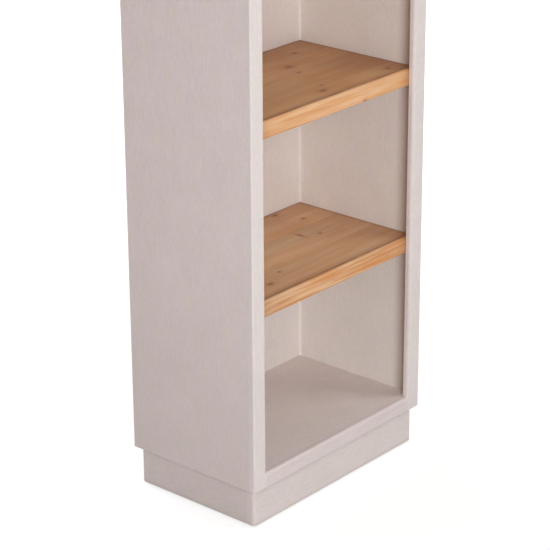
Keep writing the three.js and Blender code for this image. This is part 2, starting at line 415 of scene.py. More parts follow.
class Nodes:
    """A node tree, and the steps that it is put together from."""

    # The colour sockets of a mix node, which has hidden ones of the same names for numbers and vectors
    MIX_FIRST = 6
    MIX_SECOND = 7
    MIX_RESULT = 2

    def __init__(self, tree: bpy.types.NodeTree) -> None:
        """Takes a tree in hand."""
        self.tree = tree

    def feed(self, socket: Socket, value: Any) -> None:
        """Links a socket to an input, or sets a constant there.

        Args:
            socket: the input.
            value: a socket or a constant.
        """
        if isinstance(value, Socket):
            self.tree.links.new(value, socket)
        else:
            socket.default_value = value

    def add(self, kind: str, *values: Any, **settings: Any) -> bpy.types.Node:
        """Adds a node.

        Args:
            kind: the node's type.
            values: for its inputs in order: a socket, a constant, or None to leave one be.
            settings: its own properties.

        Returns:
            The node.
        """
        node = self.tree.nodes.new(kind)
        for key, value in settings.items():
            setattr(node, key, value)
        for socket, value in zip(node.inputs, values):
            if value is not None:
                self.feed(socket, value)
        return node

    def maths(self, operation: str, *values: Any) -> Socket:
        """One step of arithmetic on numbers."""
        return self.add("ShaderNodeMath", *values, operation=operation).outputs[0]

    def vector(self, operation: str, *values: Any) -> Socket:
        """One step of arithmetic on vectors."""
        node = self.add("ShaderNodeVectorMath", *values, operation=operation)
        return node.outputs["Value" if operation == "LENGTH" else "Vector"]

    def joined(self, *parts: Any) -> Socket:
        """Up to three numbers as one vector."""
        return self.add("ShaderNodeCombineXYZ", *parts).outputs[0]

    def split(self, vector: Socket) -> Sequence[Socket]:
        """The three numbers of a vector."""
        return self.add("ShaderNodeSeparateXYZ", vector).outputs

    def noise(self, place: Socket, scale: float, detail: float, roughness: float = 0.55) -> Socket:
        """A soft random value from 0 to 1."""
        return self.add("ShaderNodeTexNoise", place, None, scale, detail, roughness).outputs[0]

    def spread(self, value: Socket, span: Span) -> Socket:
        """Carries a value from 0 to 1 evenly onto a span."""
        low, high = span
        return self.maths("MULTIPLY_ADD", value, high - low, low)

    def between(self, value: Socket, span: Span, onto: tuple[Any, Any] = (0, 1)) -> Socket:
        """Carries a value smoothly from one span onto another."""
        return self.add("ShaderNodeMapRange", value, *span, *onto, interpolation_type="SMOOTHSTEP").outputs[0]

    def blend(self, share: Any, first: Any, second: Any, way: str = "MIX") -> Socket:
        """Mixes two colours.

        Args:
            share: how much of the second there is, from 0 to 1.
            first, second: each a socket or a colour.
            way: how they mix.

        Returns:
            The mixed colour.
        """
        node = self.add("ShaderNodeMix", share, data_type="RGBA", blend_type=way)
        for number, colour in ((self.MIX_FIRST, first), (self.MIX_SECOND, second)):
            self.feed(node.inputs[number], colour if isinstance(colour, Socket) else (*colour, 1))
        return node.outputs[self.MIX_RESULT]

    def shade(self, colour: Any, value: Socket, depth: float) -> Socket:
        """Lightens and darkens a colour by a random value.

        Args:
            colour: the colour.
            value: from 0 to 1, even about a half.
            depth: the share by which the ends of the value change the colour.

        Returns:
            The changed colour.
        """
        level = self.maths("MULTIPLY_ADD", value, 2 * depth, 1 - depth)
        return self.blend(1.0, colour, self.joined(level, level, level), "MULTIPLY")

    def seen(self) -> Socket:
        """Tells the rays that look at a surface from those that only light it.

        Returns:
            One where the camera, a gloss or glass looks, and zero elsewhere.
        """
        rays = self.add("ShaderNodeLightPath").outputs
        seen = rays["Is Camera Ray"]
        for ray in ("Is Glossy Ray", "Is Transmission Ray"):
            seen = self.maths("MAXIMUM", seen, rays[ray])
        return seen


class Recipe(Nodes):
    """A finish being mixed: a node tree that ends in one Principled skin."""

    def __init__(self, name: str) -> None:
        """Starts an empty tree.

        Args:
            name: the material's name.
        """
        self.material = bpy.data.materials.new(name)
        self.material.use_nodes = True
        super().__init__(self.material.node_tree)
        self.tree.nodes.clear()
        self.skin = self.add("ShaderNodeBsdfPrincipled")
        self.add("ShaderNodeOutputMaterial", self.skin.outputs[0])
        self.place = self.add("ShaderNodeTexCoord").outputs["Object"]

    def stretched(self, counts: Sequence[float]) -> Socket:
        """Places on the piece, scaled along each axis."""
        return self.vector("MULTIPLY", self.place, counts)

    def finish(self, colour: Socket, roughness: Socket, height: Socket, depth: float) -> bpy.types.Material:
        """Joins colour, roughness and relief to the skin.

        Args:
            colour: the colour.
            roughness: the roughness.
            height: the relief, from 0 to 1.
            depth: how high the relief stands, in metres.

        Returns:
            The finished material.
        """
        bump = self.add("ShaderNodeBump")
        self.feed(bump.inputs["Distance"], depth)
        self.feed(bump.inputs["Height"], height)
        self.feed(self.skin.inputs["Normal"], bump.outputs[0])
        self.feed(self.skin.inputs["Base Color"], colour)
        self.feed(self.skin.inputs["Roughness"], roughness)
        return self.material


@dataclass(frozen=True)
class Paint:
    """Off-white paint laid on with a brush, its strokes along one direction.

    A shade is the share by which marks lighten and darken the colour, and a break is how finely marks break
    up and how roughly. The corner is where the inner face of a side lies across the case, and where the back
    of the stile lies in its depth; painted shade is laid on that face behind the stile.
    """

    strokes: Run
    slot: str = "painted_wood"
    colour: Colour = linear(227, 218, 216)
    # Brush marks
    stroke_length: float = 55 * MM
    stroke_width: float = 4 * MM
    stroke_break: tuple[float, float] = (4, 0.6)
    stroke_shade: float = 0.05
    bristle_length: float = 11 * MM
    bristle_width: float = 2.6 * MM
    bristle_break: tuple[float, float] = (3, 0.65)
    bristle_shade: float = 0.12
    patch: float = 70 * MM
    patch_break: tuple[float, float] = (4, 0.6)
    patch_shade: float = 0.06
    # Tints that the white drifts between
    rosy: Colour = (1.012, 0.988, 1.008)
    creamy: Colour = (1.0, 1.004, 0.955)
    tint_length: float = 42 * MM
    tint_width: float = 21 * MM
    tint_break: tuple[float, float] = (5, 0.7)
    tint_span: Span = (0.32, 0.68)
    # Painted shade towards the floor; on the plinth it also stands for scuffs
    # The colour of the painted shade near the floor
    scuff: Colour = linear(186, 174, 168)
    scuff_and_shade_height: float = 0.0
    scuff_and_shade_edge_shares: Span = (0.5, 1.5)
    scuff_and_shade_fade: Span = (0.1, 1.0)
    scuff_and_shade_strength: float = 0.5
    # Painted shade on a side's inner face, behind a stile
    corner_shade: Colour = linear(150, 116, 90)
    corner: tuple[float, float] | None = None
    corner_reach: float = 48 * MM
    corner_start_share: float = 0.15
    corner_shade_strength: float = 0.62
    corner_shade_depth: Span = (1 * MM, 2 * MM)
    # Surface
    bristle_relief_share: float = 0.6
    relief: float = 0.4 * MM
    roughness: Span = (0.48, 0.64)
    gloss: float = 0.35

    def marks(self, recipe: Recipe, length: float, width: float, broken: tuple[float, float]) -> Socket:
        """Random marks about that long and wide, drawn out along the strokes."""
        counts = [1 / (length if axis == self.strokes.value else width) for axis in range(3)]
        return recipe.noise(recipe.stretched(counts), 1, *broken)

    def mix(self) -> bpy.types.Material:
        """Mixes the paint.

        Returns:
            Its material.
        """
        recipe = Recipe(f"paint_{self.strokes.name.lower()}")
        stroke = self.marks(recipe, self.stroke_length, self.stroke_width, self.stroke_break)
        bristle = self.marks(recipe, self.bristle_length, self.bristle_width, self.bristle_break)
        patch = recipe.noise(recipe.place, 1 / self.patch, *self.patch_break)
        hue = self.marks(recipe, self.tint_length, self.tint_width, self.tint_break)
        tint = recipe.blend(recipe.between(hue, self.tint_span), self.rosy, self.creamy)
        colour = recipe.blend(1.0, tint, self.colour, "MULTIPLY")
        colour = recipe.shade(colour, stroke, self.stroke_shade)
        colour = recipe.shade(colour, bristle, self.bristle_shade)
        colour = recipe.shade(colour, patch, self.patch_shade)
        # Painted shade towards the floor
        if self.scuff_and_shade_height:
            colour = self.scuffed_and_shaded(recipe, colour, stroke)
        # Painted shade on a side's inner face behind the stile
        if self.corner is not None:
            colour = self.shaded_corner(recipe, colour, *self.corner)
        fine = recipe.maths("MULTIPLY", bristle, self.bristle_relief_share)
        recipe.skin.inputs["Specular IOR Level"].default_value = self.gloss
        roughness = recipe.spread(stroke, self.roughness)
        return recipe.finish(colour, roughness, recipe.maths("ADD", stroke, fine), self.relief)

    def scuffed_and_shaded(self, recipe: Recipe, colour: Socket, stroke: Socket) -> Socket:
        """Darkens the paint towards the floor with painted shade, up to an edge that the strokes break up.

        Args:
            recipe: the finish being mixed.
            colour: the clean paint.
            stroke: the brush strokes.

        Returns:
            The darkened colour.
        """
        edge = recipe.spread(stroke, tuple(share * self.scuff_and_shade_height for share in self.scuff_and_shade_edge_shares))
        height = recipe.maths("DIVIDE", recipe.split(recipe.place)[2], edge)
        darkened = recipe.between(height, self.scuff_and_shade_fade, (self.scuff_and_shade_strength, 0))
        return recipe.blend(darkened, colour, self.scuff)

    def shaded_corner(self, recipe: Recipe, colour: Socket, face: float, stile_back: float) -> Socket:
        """Lays painted shade on the inner face of a side, behind the stile.

        Args:
            recipe: the finish being mixed.
            colour: the clean paint.
            face: where the inner face lies.
            stile_back: where the stile's back lies.

        Returns:
            The dusty colour.
        """
        across, depth, _ = recipe.split(recipe.place)
        off_face = recipe.maths("ABSOLUTE", recipe.maths("SUBTRACT", across, face))
        away = recipe.maths("SUBTRACT", depth, stile_back)
        reach = (self.corner_start_share * self.corner_reach, self.corner_reach)
        corner_painted_shade = recipe.between(away, reach, (self.corner_shade_strength, 0))
        corner_painted_shade = recipe.maths("MULTIPLY", corner_painted_shade, recipe.between(off_face, self.corner_shade_depth, (1, 0)))
        return recipe.blend(corner_painted_shade, colour, self.corner_shade)


@dataclass(frozen=True)
class Knot:
    """A knot: its place from the board's corner, its radius, and the way its branch ran.

    The branch comes out through the board's flat face, or through its edge. Long is how far the knot is
    drawn out along the grain, in radii, and wide is the same across it.
    """

    along: float
    over: float
    radius: float
    branch: Run = Run.UPRIGHT
    long: float = 1.4
    wide: float = 1.0


@dataclass(frozen=True)
class Timber:
    """Softwood with growth rings in depth, glued up from strips, with knots where they are named.

    A shade is the share by which marks lighten and darken the colour, a strength is the share of a second
    colour in it, and a break is how finely marks break up and how roughly. Marks are counted to the metre:
    along, over and through the board.
    """

    name: str
    slot: str
    start: tuple[float, float, float]
    grain: Run
    seed: float
    early: Colour
    late: Colour
    heart: Colour
    # The colour of painted shade: the band and line behind the round, and the dark corners and ends
    shade_ink: Colour = linear(128, 66, 26)
    resin: Colour = linear(208, 131, 52)
    sap: Colour = linear(232, 195, 152)
    joints: tuple[float, ...] = ()
    knots: tuple[Knot, ...] = ()
    # What sets one strip apart from the next
    strip_spread: float = 97.0
    strip_shift: float = 40.0
    tone_shade: float = 0.05
    # Growth rings about each strip's pith
    ring: float = 3.6 * MM
    flat_contrast: float = 0.34
    edge_contrast: float = 0.34
    pith_over: Span = (-40 * MM, 110 * MM)
    pith_below: Span = (15 * MM, 65 * MM)
    pith_lean: Span = (-0.03, 0.03)
    waver: Span = (-8 * MM, 8 * MM)
    waver_marks: float = 8.0
    waver_break: tuple[float, float] = (3, 0.45)
    waver_stretch: float = 0.9
    bulge: float = 11 * MM
    bulge_fall: float = -0.10
    darkening: Span = (0.15, 0.85)
    paling: Span = (0.88, 1.0)
    year_marks: float = 3.7
    year_strength: Span = (0.25, 1.35)
    # Fibres, clouds and streaks
    fibre_marks: Marks = (14.0, 900.0, 900.0)
    fibre_shade: float = 0.08
    cloud_marks: Marks = (4.0, 14.0, 14.0)
    cloud_shade: float = 0.10
    broad_streak_marks: Marks = (8.0, 22.0, 90.0)
    fine_streak_marks: Marks = (5.0, 60.0, 280.0)
    dark_streak: Span = (0.48, 0.62)
    pale_streak: Span = (0.36, 0.48)
    flat_streaks: float = 0.3
    edge_streaks: float = 0.62
    # Knots, in radii from the middle of the nearest one
    no_knot: float = 99.0
    wobble: Span = (0.6, 1.4)
    wobble_marks: float = 110.0
    halo: Span = (0.9, 3.2)
    halo_strength: float = 0.45
    knot: Span = (0.2, 1.35)
    knot_strength: float = 0.72
    knot_rings: float = 17.0
    knot_ring_strength: float = 0.6
    knot_ring_share: float = 0.62
    # Glue lines
    glue_reach: float = 0.8 * MM
    glue_strength: float = 0.18
    # The front edge's round: painted light on the top, painted shade behind the round, painted highlight on
    # the arris
    round_start: float | None = None
    round_fade: float = 3 * MM
    top_light_tint: Colour = (1, 1, 1)
    top_light_fade: float = 2 * MM
    shade_shift: float = 3 * MM
    shade_reach: float = 12 * MM
    shade_strength: float = 0.26
    line_reach: float = 4.4 * MM
    line_strength: Span = (0.245, 0.7)
    line_gap_marks: float = 9.0
    line_gaps: Span = (0.36, 0.62)
    arris_highlight_place: float = 2.6 * MM
    arris_highlight_reach: float = 2.2 * MM
    arris_highlight_strength: float = 0.3
    # Painted shade where the board meets the case and at its ends: reach, strength on the edge and on the
    # flat
    corners: tuple[float, float] | None = None
    gap_shadow: tuple[float, float, float] = (5 * MM, 0.75, 0.3)
    corner_shades: tuple[tuple[float, float, float], ...] = ((15 * MM, 0.55, 0.25), (60 * MM, 0.32, 0.2))
    ends: tuple[float, float, float] = (0.0, 0.0, 0.0)
    end_shade_reach: float = 150 * MM
    line_core_share: float = 0.2
    # Surface
    fibre_relief_share: float = 0.6
    ring_relief_share: float = 0.25
    relief: float = 0.12 * MM
    roughness: float = 0.42
    roughness_spread: float = 0.1

    def mix(self) -> bpy.types.Material:
        """Mixes the finish.

        Returns:
            Its material.
        """
        recipe = Recipe(self.name)
        place = self.axes(recipe)
        along, over, through = place
        strip = self.strip_start(recipe, over)
        draw = recipe.joined(recipe.maths("MULTIPLY", strip, self.strip_spread), self.seed, 0.5)
        chance = recipe.add("ShaderNodeTexWhiteNoise", draw, noise_dimensions="3D")
        tone, side, drop = recipe.add("ShaderNodeSeparateColor", chance.outputs["Color"]).outputs
        away = self.from_knot(recipe, along, over, through)
        autumn = self.autumn(recipe, place, strip, (tone, side, drop), away)
        fibre = self.marks(recipe, place, tone, self.fibre_marks, 4)
        cloud = self.marks(recipe, place, tone, self.cloud_marks, 2)
        contrast = self.by_face(recipe, over, self.edge_contrast, self.flat_contrast)
        colour = recipe.blend(recipe.maths("MULTIPLY", autumn, contrast), self.early, self.late)
        colour = self.streaked(recipe, colour, place, tone)
        colour = recipe.shade(colour, fibre, self.fibre_shade)
        colour = recipe.shade(colour, tone, self.tone_shade)
        colour = recipe.shade(colour, cloud, self.cloud_shade)
        colour = self.knotted(recipe, colour, away)
        colour = self.lined(recipe, colour, along, over)
        sunk = recipe.maths("MULTIPLY", autumn, self.ring_relief_share)
        raised = recipe.maths("MULTIPLY", fibre, self.fibre_relief_share)
        spread = (self.roughness - self.roughness_spread, self.roughness + self.roughness_spread)
        roughness = recipe.spread(fibre, spread)
        return recipe.finish(colour, roughness, recipe.maths("SUBTRACT", raised, sunk), self.relief)

    def axes(self, recipe: Recipe) -> Place:
        """Finds the places on the board.

        Args:
            recipe: the finish being mixed.

        Returns:
            The places along the grain, over the strips, and through the thickness.
        """
        parts = recipe.split(recipe.vector("SUBTRACT", recipe.place, self.start))
        order = {Run.ACROSS: (0, 1, 2), Run.DEEP: (1, 0, 2), Run.UPRIGHT: (2, 0, 1)}[self.grain]
        return tuple(parts[i] for i in order)

    def by_face(self, recipe: Recipe, over: Socket, edge: float, flat: float) -> Any:
        """One value on the front edge and its round, and another on the flat.

        Args:
            recipe: the finish being mixed.
            over: places over the strips.
            edge: the value on the edge.
            flat: the value on the flat.

        Returns:
            A socket, or the flat's own value where the board has no round.
        """
        if self.round_start is None:
            return flat
        return recipe.between(over, (self.round_start - self.round_fade, self.round_start), (edge, flat))

    def strip_start(self, recipe: Recipe, over: Socket) -> Any:
        """Where the strip that a point lies in starts, over the board.

        Args:
            recipe: the finish being mixed.
            over: places over the strips.

        Returns:
            A socket, or 0 where the board is one strip.
        """
        start: Any = 0.0
        for joint in self.joints:
            beyond = recipe.maths("GREATER_THAN", over, joint)
            start = recipe.maths("MAXIMUM", start, recipe.maths("MULTIPLY", beyond, joint))
        return start

    def marks(self, recipe: Recipe, place: Place, tone: Socket, counts: Marks, detail: float) -> Socket:
        """Random marks drawn out along the grain, different in each strip.

        Args:
            recipe: the finish being mixed.
            place: the place on the board.
            tone: a random value for the strip.
            counts: marks to the metre.
            detail: how finely they break up.

        Returns:
            From 0 to 1.
        """
        shift = recipe.maths("MULTIPLY", tone, self.strip_shift)
        parts = [recipe.maths("MULTIPLY_ADD", part, count, shift) for part, count in zip(place, counts)]
        return recipe.noise(recipe.joined(*parts), 1, detail)

    def autumn(
        self,
        recipe: Recipe,
        place: Place,
        strip: Any,
        chance: tuple[Socket, Socket, Socket],
        away: Socket,
    ) -> Socket:
        """How much of a point is the dark wood of a growth ring.

        Each strip is sawn beside the pith of its own tree, so its rings are arcs about a line below it.

        Args:
            recipe: the finish being mixed.
            place: the place on the board.
            strip: where the strip starts.
            chance: three random values for the strip.
            away: radii from the nearest knot, which the rings flow round.

        Returns:
            From 0 to about 1.
        """
        along, over, through = place
        tone, side, drop = chance
        pith_over = recipe.maths("ADD", strip, recipe.spread(side, self.pith_over))
        lean = recipe.maths("MULTIPLY", along, recipe.spread(drop, self.pith_lean))
        sideways = recipe.maths("SUBTRACT", over, recipe.maths("ADD", pith_over, lean))
        below = recipe.maths("ADD", through, recipe.spread(drop, self.pith_below))
        pith = recipe.vector("LENGTH", recipe.joined(sideways, below))
        drift = recipe.joined(recipe.maths("MULTIPLY", along, self.waver_stretch), over, tone)
        waver = recipe.spread(recipe.noise(drift, self.waver_marks, *self.waver_break), self.waver)
        squared = recipe.maths("MULTIPLY", away, away)
        swirl = recipe.maths("EXPONENT", recipe.maths("MULTIPLY", squared, self.bulge_fall))
        bulge = recipe.maths("MULTIPLY", swirl, self.bulge)
        distance = recipe.maths("ADD", recipe.maths("ADD", pith, waver), bulge)
        count = recipe.maths("DIVIDE", distance, self.ring)
        year = recipe.maths("FRACT", count)
        summer = recipe.between(year, self.darkening)
        dark = recipe.maths("MULTIPLY", summer, recipe.between(year, self.paling, (1, 0)))
        ring = recipe.joined(recipe.maths("FLOOR", count), tone)
        strength = recipe.spread(recipe.noise(ring, self.year_marks, 1), self.year_strength)
        return recipe.maths("MULTIPLY", dark, strength)

    def streaked(self, recipe: Recipe, colour: Socket, place: Place, tone: Socket) -> Socket:
        """Draws orange and pale patches and streaks along the grain.

        Args:
            recipe: the finish being mixed.
            colour: the wood with its rings.
            place: the place on the board.
            tone: a random value for the strip.

        Returns:
            The streaked colour.
        """
        strength = self.by_face(recipe, place[1], self.edge_streaks, self.flat_streaks)
        for counts, detail in ((self.broad_streak_marks, 2), (self.fine_streak_marks, 3)):
            mark = self.marks(recipe, place, tone, counts, detail)
            dark = recipe.maths("MULTIPLY", recipe.between(mark, self.dark_streak), strength)
            pale = recipe.maths("MULTIPLY", recipe.between(mark, self.pale_streak, (1, 0)), strength)
            colour = recipe.blend(pale, recipe.blend(dark, colour, self.resin), self.sap)
        return colour

    def from_knot(self, recipe: Recipe, along: Socket, over: Socket, through: Socket) -> Any:
        """How far the middle of the nearest knot is.

        Args:
            recipe: the finish being mixed.
            along, over, through: places on the board.

        Returns:
            The distance, in the knot's radii.
        """
        nearest: Any = self.no_knot
        faces = {Run.UPRIGHT: over, Run.DEEP: through}
        for knot in self.knots:
            flat = recipe.joined(along, faces[knot.branch])
            spread = (1 / (knot.radius * knot.long), 1 / (knot.radius * knot.wide), 0)
            offset = recipe.vector("SUBTRACT", flat, (knot.along, knot.over, 0))
            offset = recipe.vector("MULTIPLY", offset, spread)
            nearest = recipe.maths("MINIMUM", nearest, recipe.vector("LENGTH", offset))
        wobble = recipe.spread(recipe.noise(recipe.place, self.wobble_marks, 2), self.wobble)
        return recipe.maths("MULTIPLY", nearest, wobble)

    def knotted(self, recipe: Recipe, colour: Socket, away: Socket) -> Socket:
        """Darkens the wood round the knots and draws the knots.

        Args:
            recipe: the finish being mixed.
            colour: the clear wood.
            away: radii from the nearest knot.

        Returns:
            The colour with knots.
        """
        halo = recipe.between(away, self.halo, (self.halo_strength, 0))
        colour = recipe.blend(halo, colour, self.late)
        rings = recipe.maths("SINE", recipe.maths("MULTIPLY", away, self.knot_rings))
        rings = recipe.between(rings, (-1, 1), (0, self.knot_ring_strength))
        heart = recipe.blend(rings, self.heart, tuple(self.knot_ring_share * part for part in self.heart))
        return recipe.blend(recipe.between(away, self.knot, (self.knot_strength, 0)), colour, heart)

    def lined(self, recipe: Recipe, colour: Socket, along: Socket, over: Socket) -> Socket:
        """Tints the top with painted light, and draws the glue lines, the round's start, painted shade and
        highlights.

        Args:
            recipe: the finish being mixed.
            colour: the wood.
            along: places along the grain.
            over: places over the strips.

        Returns:
            The colour with those lines.
        """
        lines = [(over, joint, self.glue_reach, self.glue_strength, self.heart) for joint in self.joints]
        if self.round_start is not None:
            fade = (self.round_start - self.top_light_fade, self.round_start + self.top_light_fade)
            # Painted light: the top flat gets a tint of its own against the front edge
            lit_top = recipe.blend(1.0, colour, self.top_light_tint, "MULTIPLY")
            colour = recipe.blend(recipe.between(over, fade), colour, lit_top)
            gaps = recipe.joined(recipe.maths("MULTIPLY", along, self.line_gap_marks), self.seed)
            broken = recipe.between(recipe.noise(gaps, 1, 3), self.line_gaps, self.line_strength)
            # Painted shade: a soft dark band just behind the round, and a dark line where the round starts
            shade = self.round_start + self.shade_shift
            lines.append((over, shade, self.shade_reach, self.shade_strength, self.shade_ink))
            lines.append((over, self.round_start, self.line_reach, broken, self.shade_ink))
            # Painted highlight: a pale band on the arris
            lines.append((over, self.arris_highlight_place, self.arris_highlight_reach, self.arris_highlight_strength, self.early))
        # Painted shade in the corners where the board meets the case, and at its ends
        if self.corners is not None:
            lines.extend(self.corner_lines(recipe, along, over, *self.corners))
        for place, line, reach, strength, ink in lines:
            gap = recipe.maths("ABSOLUTE", recipe.maths("SUBTRACT", place, line))
            share = recipe.between(gap, (self.line_core_share * reach, reach), (strength, 0))
            colour = recipe.blend(share, colour, ink)
        return colour

    def corner_lines(
        self, recipe: Recipe, along: Socket, over: Socket, length: float, depth: float
    ) -> list[tuple[Socket, float, float, Any, Colour]]:
        """The painted shade where the board meets the case, and at its ends, warm orange at the edge's right
        end.

        Args:
            recipe: the finish being mixed.
            along: places along the grain.
            over: places over the strips.
            length: the board's length.
            depth: the board's depth.

        Returns:
            For each line, what it is measured along, where it lies, its reach, its strength and its colour.
        """
        shade_left, shade_right, warm_shade = self.ends
        lines = [
            (along, 0.0, self.end_shade_reach, self.by_face(recipe, over, shade_left, 0.0), self.shade_ink),
            (along, length, self.end_shade_reach, self.by_face(recipe, over, 0.0, shade_right), self.shade_ink),
            (along, length, self.end_shade_reach, self.by_face(recipe, over, warm_shade, 0.0), self.resin),
        ]
        shades = [
            (reach, self.by_face(recipe, over, edge, flat), self.shade_ink if wide else self.heart)
            for wide, (reach, edge, flat) in enumerate((self.gap_shadow, *self.corner_shades))
        ]
        for place, line in ((along, 0.0), (along, length), (over, depth)):
            lines.extend((place, line, *shade_ink) for shade_ink in shades)
        return lines


@dataclass(frozen=True)
class Steel:
    """Zinc-plated pressed steel: dull, faintly mottled, with fine scratches."""

    slot: str = "steel"
    colour: Colour = linear(158, 160, 164)
    warm: Colour = linear(172, 166, 150)
    mottle: float = 14 * MM
    scratch_marks: Marks = (2200, 300, 60)
    scratch_shade: float = 0.06
    roughness: Span = (0.18, 0.32)
    mottle_roughness: float = 0.22
    relief: float = 0.03 * MM

    def mix(self) -> bpy.types.Material:
        """Mixes the finish.

        Returns:
            Its material.
        """
        recipe = Recipe("zinc_plated_steel")
        mottle = recipe.noise(recipe.place, 1 / self.mottle, 3)
        scratch = recipe.noise(recipe.stretched(self.scratch_marks), 1, 2)
        colour = recipe.blend(mottle, self.colour, self.warm)
        colour = recipe.shade(colour, scratch, self.scratch_shade)
        recipe.skin.inputs["Metallic"].default_value = 1.0
        roughness = recipe.spread(scratch, self.roughness)
        roughness = recipe.maths("MULTIPLY_ADD", mottle, self.mottle_roughness, roughness)
        return recipe.finish(colour, roughness, scratch, self.relief)


@dataclass(frozen=True)
class Plastic:
    """Moulded plastic with a fine spark-eroded texture and faint scuffs."""

    name: str
    slot: str
    colour: Colour
    grain: float = 0.35 * MM
    grain_shade: float = 0.04
    scuff: float = 9 * MM
    scuff_break: tuple[float, float] = (4, 0.7)
    scuff_shade: float = 0.10
    roughness: Span = (0.38, 0.63)
    relief: float = 0.05 * MM

    def mix(self) -> bpy.types.Material:
        """Mixes the finish.

        Returns:
            Its material.
        """
        recipe = Recipe(self.name)
        grain = recipe.noise(recipe.place, 1 / self.grain, 2)
        scuff = recipe.noise(recipe.place, 1 / self.scuff, *self.scuff_break)
        colour = recipe.shade(self.colour, scuff, self.scuff_shade)
        colour = recipe.shade(colour, grain, self.grain_shade)
        return recipe.finish(colour, recipe.spread(scuff, self.roughness), grain, self.relief)


Finish = Paint | Timber | Steel | Plastic


@cache
def dressing(finish: Finish) -> bpy.types.Material:
    """The material of a finish, mixed once.

    Args:
        finish: the finish.

    Returns:
        Its material.
    """
    return finish.mix()


NYLON = Plastic("grey_nylon", "nylon", linear(84, 84, 87))
LATCH_PLASTIC = Plastic("white_latch_plastic", "latch_plastic", linear(232, 230, 224))


@dataclass
class Board:
    """A painted or planed board that stands for one CAD node."""

    node: str
    finish: Finish
    arrises: tuple[Arris, ...] = ()
    radius: float = 1.5 * MM
    body: Body = Body.CASE

    def build(self) -> bpy.types.Object:
        """Saws the board to its node's box, eases its arrises and fits it.

        Returns:
            The finished object.
        """
        box = Box.of(self.node)
        piece = Workpiece.block(f"{self.node}_board", box)
        if self.arrises:
            piece.ease(box, self.arrises, self.radius)
        return piece.fit(self.finish, self.body.value, [self.node])


@dataclass
class FaceFrame:
    """The four painted members on the case's front, rounded as one and then parted."""

    outer_radius: float = 3 * MM
    inner_radius: float = 6 * MM
    segments: int = 8
    sharp: float = math.radians(80)
    # Painted shade: the rails' paint is darker than the stiles'
    rail_shaded_colour: Colour = linear(221, 210, 209)

    def __post_init__(self) -> None:
        """Reads the frame's outline and opening from its CAD nodes."""
        self.left = Box.of("face_stile_left")
        self.right = Box.of("face_stile_right")
        self.bottom = Box.of("face_rail_bottom")
        self.top = Box.of("face_rail_top")

    def joints(self) -> list[tuple[Vector, Vector]]:
        """The planes where the stiles meet the rails."""
        return [(self.left.high, Face.RIGHT.way), (self.right.low, Face.RIGHT.way)]

    def blank(self) -> Workpiece:
        """The whole frame in one piece, with every front arris round.

        Returns:
            The blank.
        """
        box = Box(self.left.low, self.right.high)
        blank = Workpiece.block("face_frame_blank", box)
        rails = [(self.bottom.high, Face.TOP.way), (self.top.low, Face.TOP.way)]
        with blank.editing():
            blank.score([*self.joints(), *rails])
            blank.pick("FACE", lambda face: self.in_opening(face.calc_center_median()))
            bpy.ops.mesh.delete(type="FACE")
            blank.pick("EDGE", lambda edge: edge.is_boundary)
            bpy.ops.mesh.bridge_edge_loops()
            bpy.ops.mesh.select_all(action="SELECT")
            bpy.ops.mesh.normals_make_consistent(inside=False)
            for outer, radius in ((True, self.outer_radius), (False, self.inner_radius)):
                blank.pick("EDGE", lambda edge: self.is_front_arris(edge, box, outer))
                bpy.ops.mesh.bevel(offset=radius, segments=self.segments, profile=0.5, affect="EDGES")
            blank.score(self.joints())
        return blank

    def in_opening(self, middle: Vector) -> bool:
        """Whether a point lies between the stiles and between the rails."""
        wide = self.left.high.x < middle.x < self.right.low.x
        return wide and self.bottom.high.z < middle.z < self.top.low.z

    def is_front_arris(self, edge: bmesh.types.BMEdge, box: Box, outer: bool) -> bool:
        """Whether an edge is a sharp one on the front of the frame.

        Args:
            edge: the edge.
            box: the frame's box.
            outer: True for those round the frame, and False for those round the opening.

        Returns:
            Whether it is one of them.
        """
        around = (Face.LEFT, Face.RIGHT, Face.BOTTOM, Face.TOP)
        is_outer = any(box.holds(edge, side) for side in around)
        return box.holds(edge, Face.FRONT) and is_outer == outer and edge.calc_face_angle(0) > self.sharp

    def build(self) -> None:
        """Parts the blank into stiles and rails and fits them."""
        blank = self.blank()
        left = self.left.high.x + NEAR
        right = self.right.low.x - NEAR
        middle = (self.bottom.high.z + self.top.low.z) / 2
        upright = Paint(Run.UPRIGHT)
        across = Paint(Run.ACROSS, colour=self.rail_shaded_colour)
        members = [
            ("face_stile_left", upright, lambda at: at.x < left),
            ("face_stile_right", upright, lambda at: at.x > right),
            ("face_rail_bottom", across, lambda at: left <= at.x <= right and at.z < middle),
            ("face_rail_top", across, lambda at: left <= at.x <= right and at.z > middle),
        ]
        for node, paint, keep in members:
            blank.part(f"{node}_painted", keep).fit(paint, Body.CASE.value, [node])
        blank.scrap()


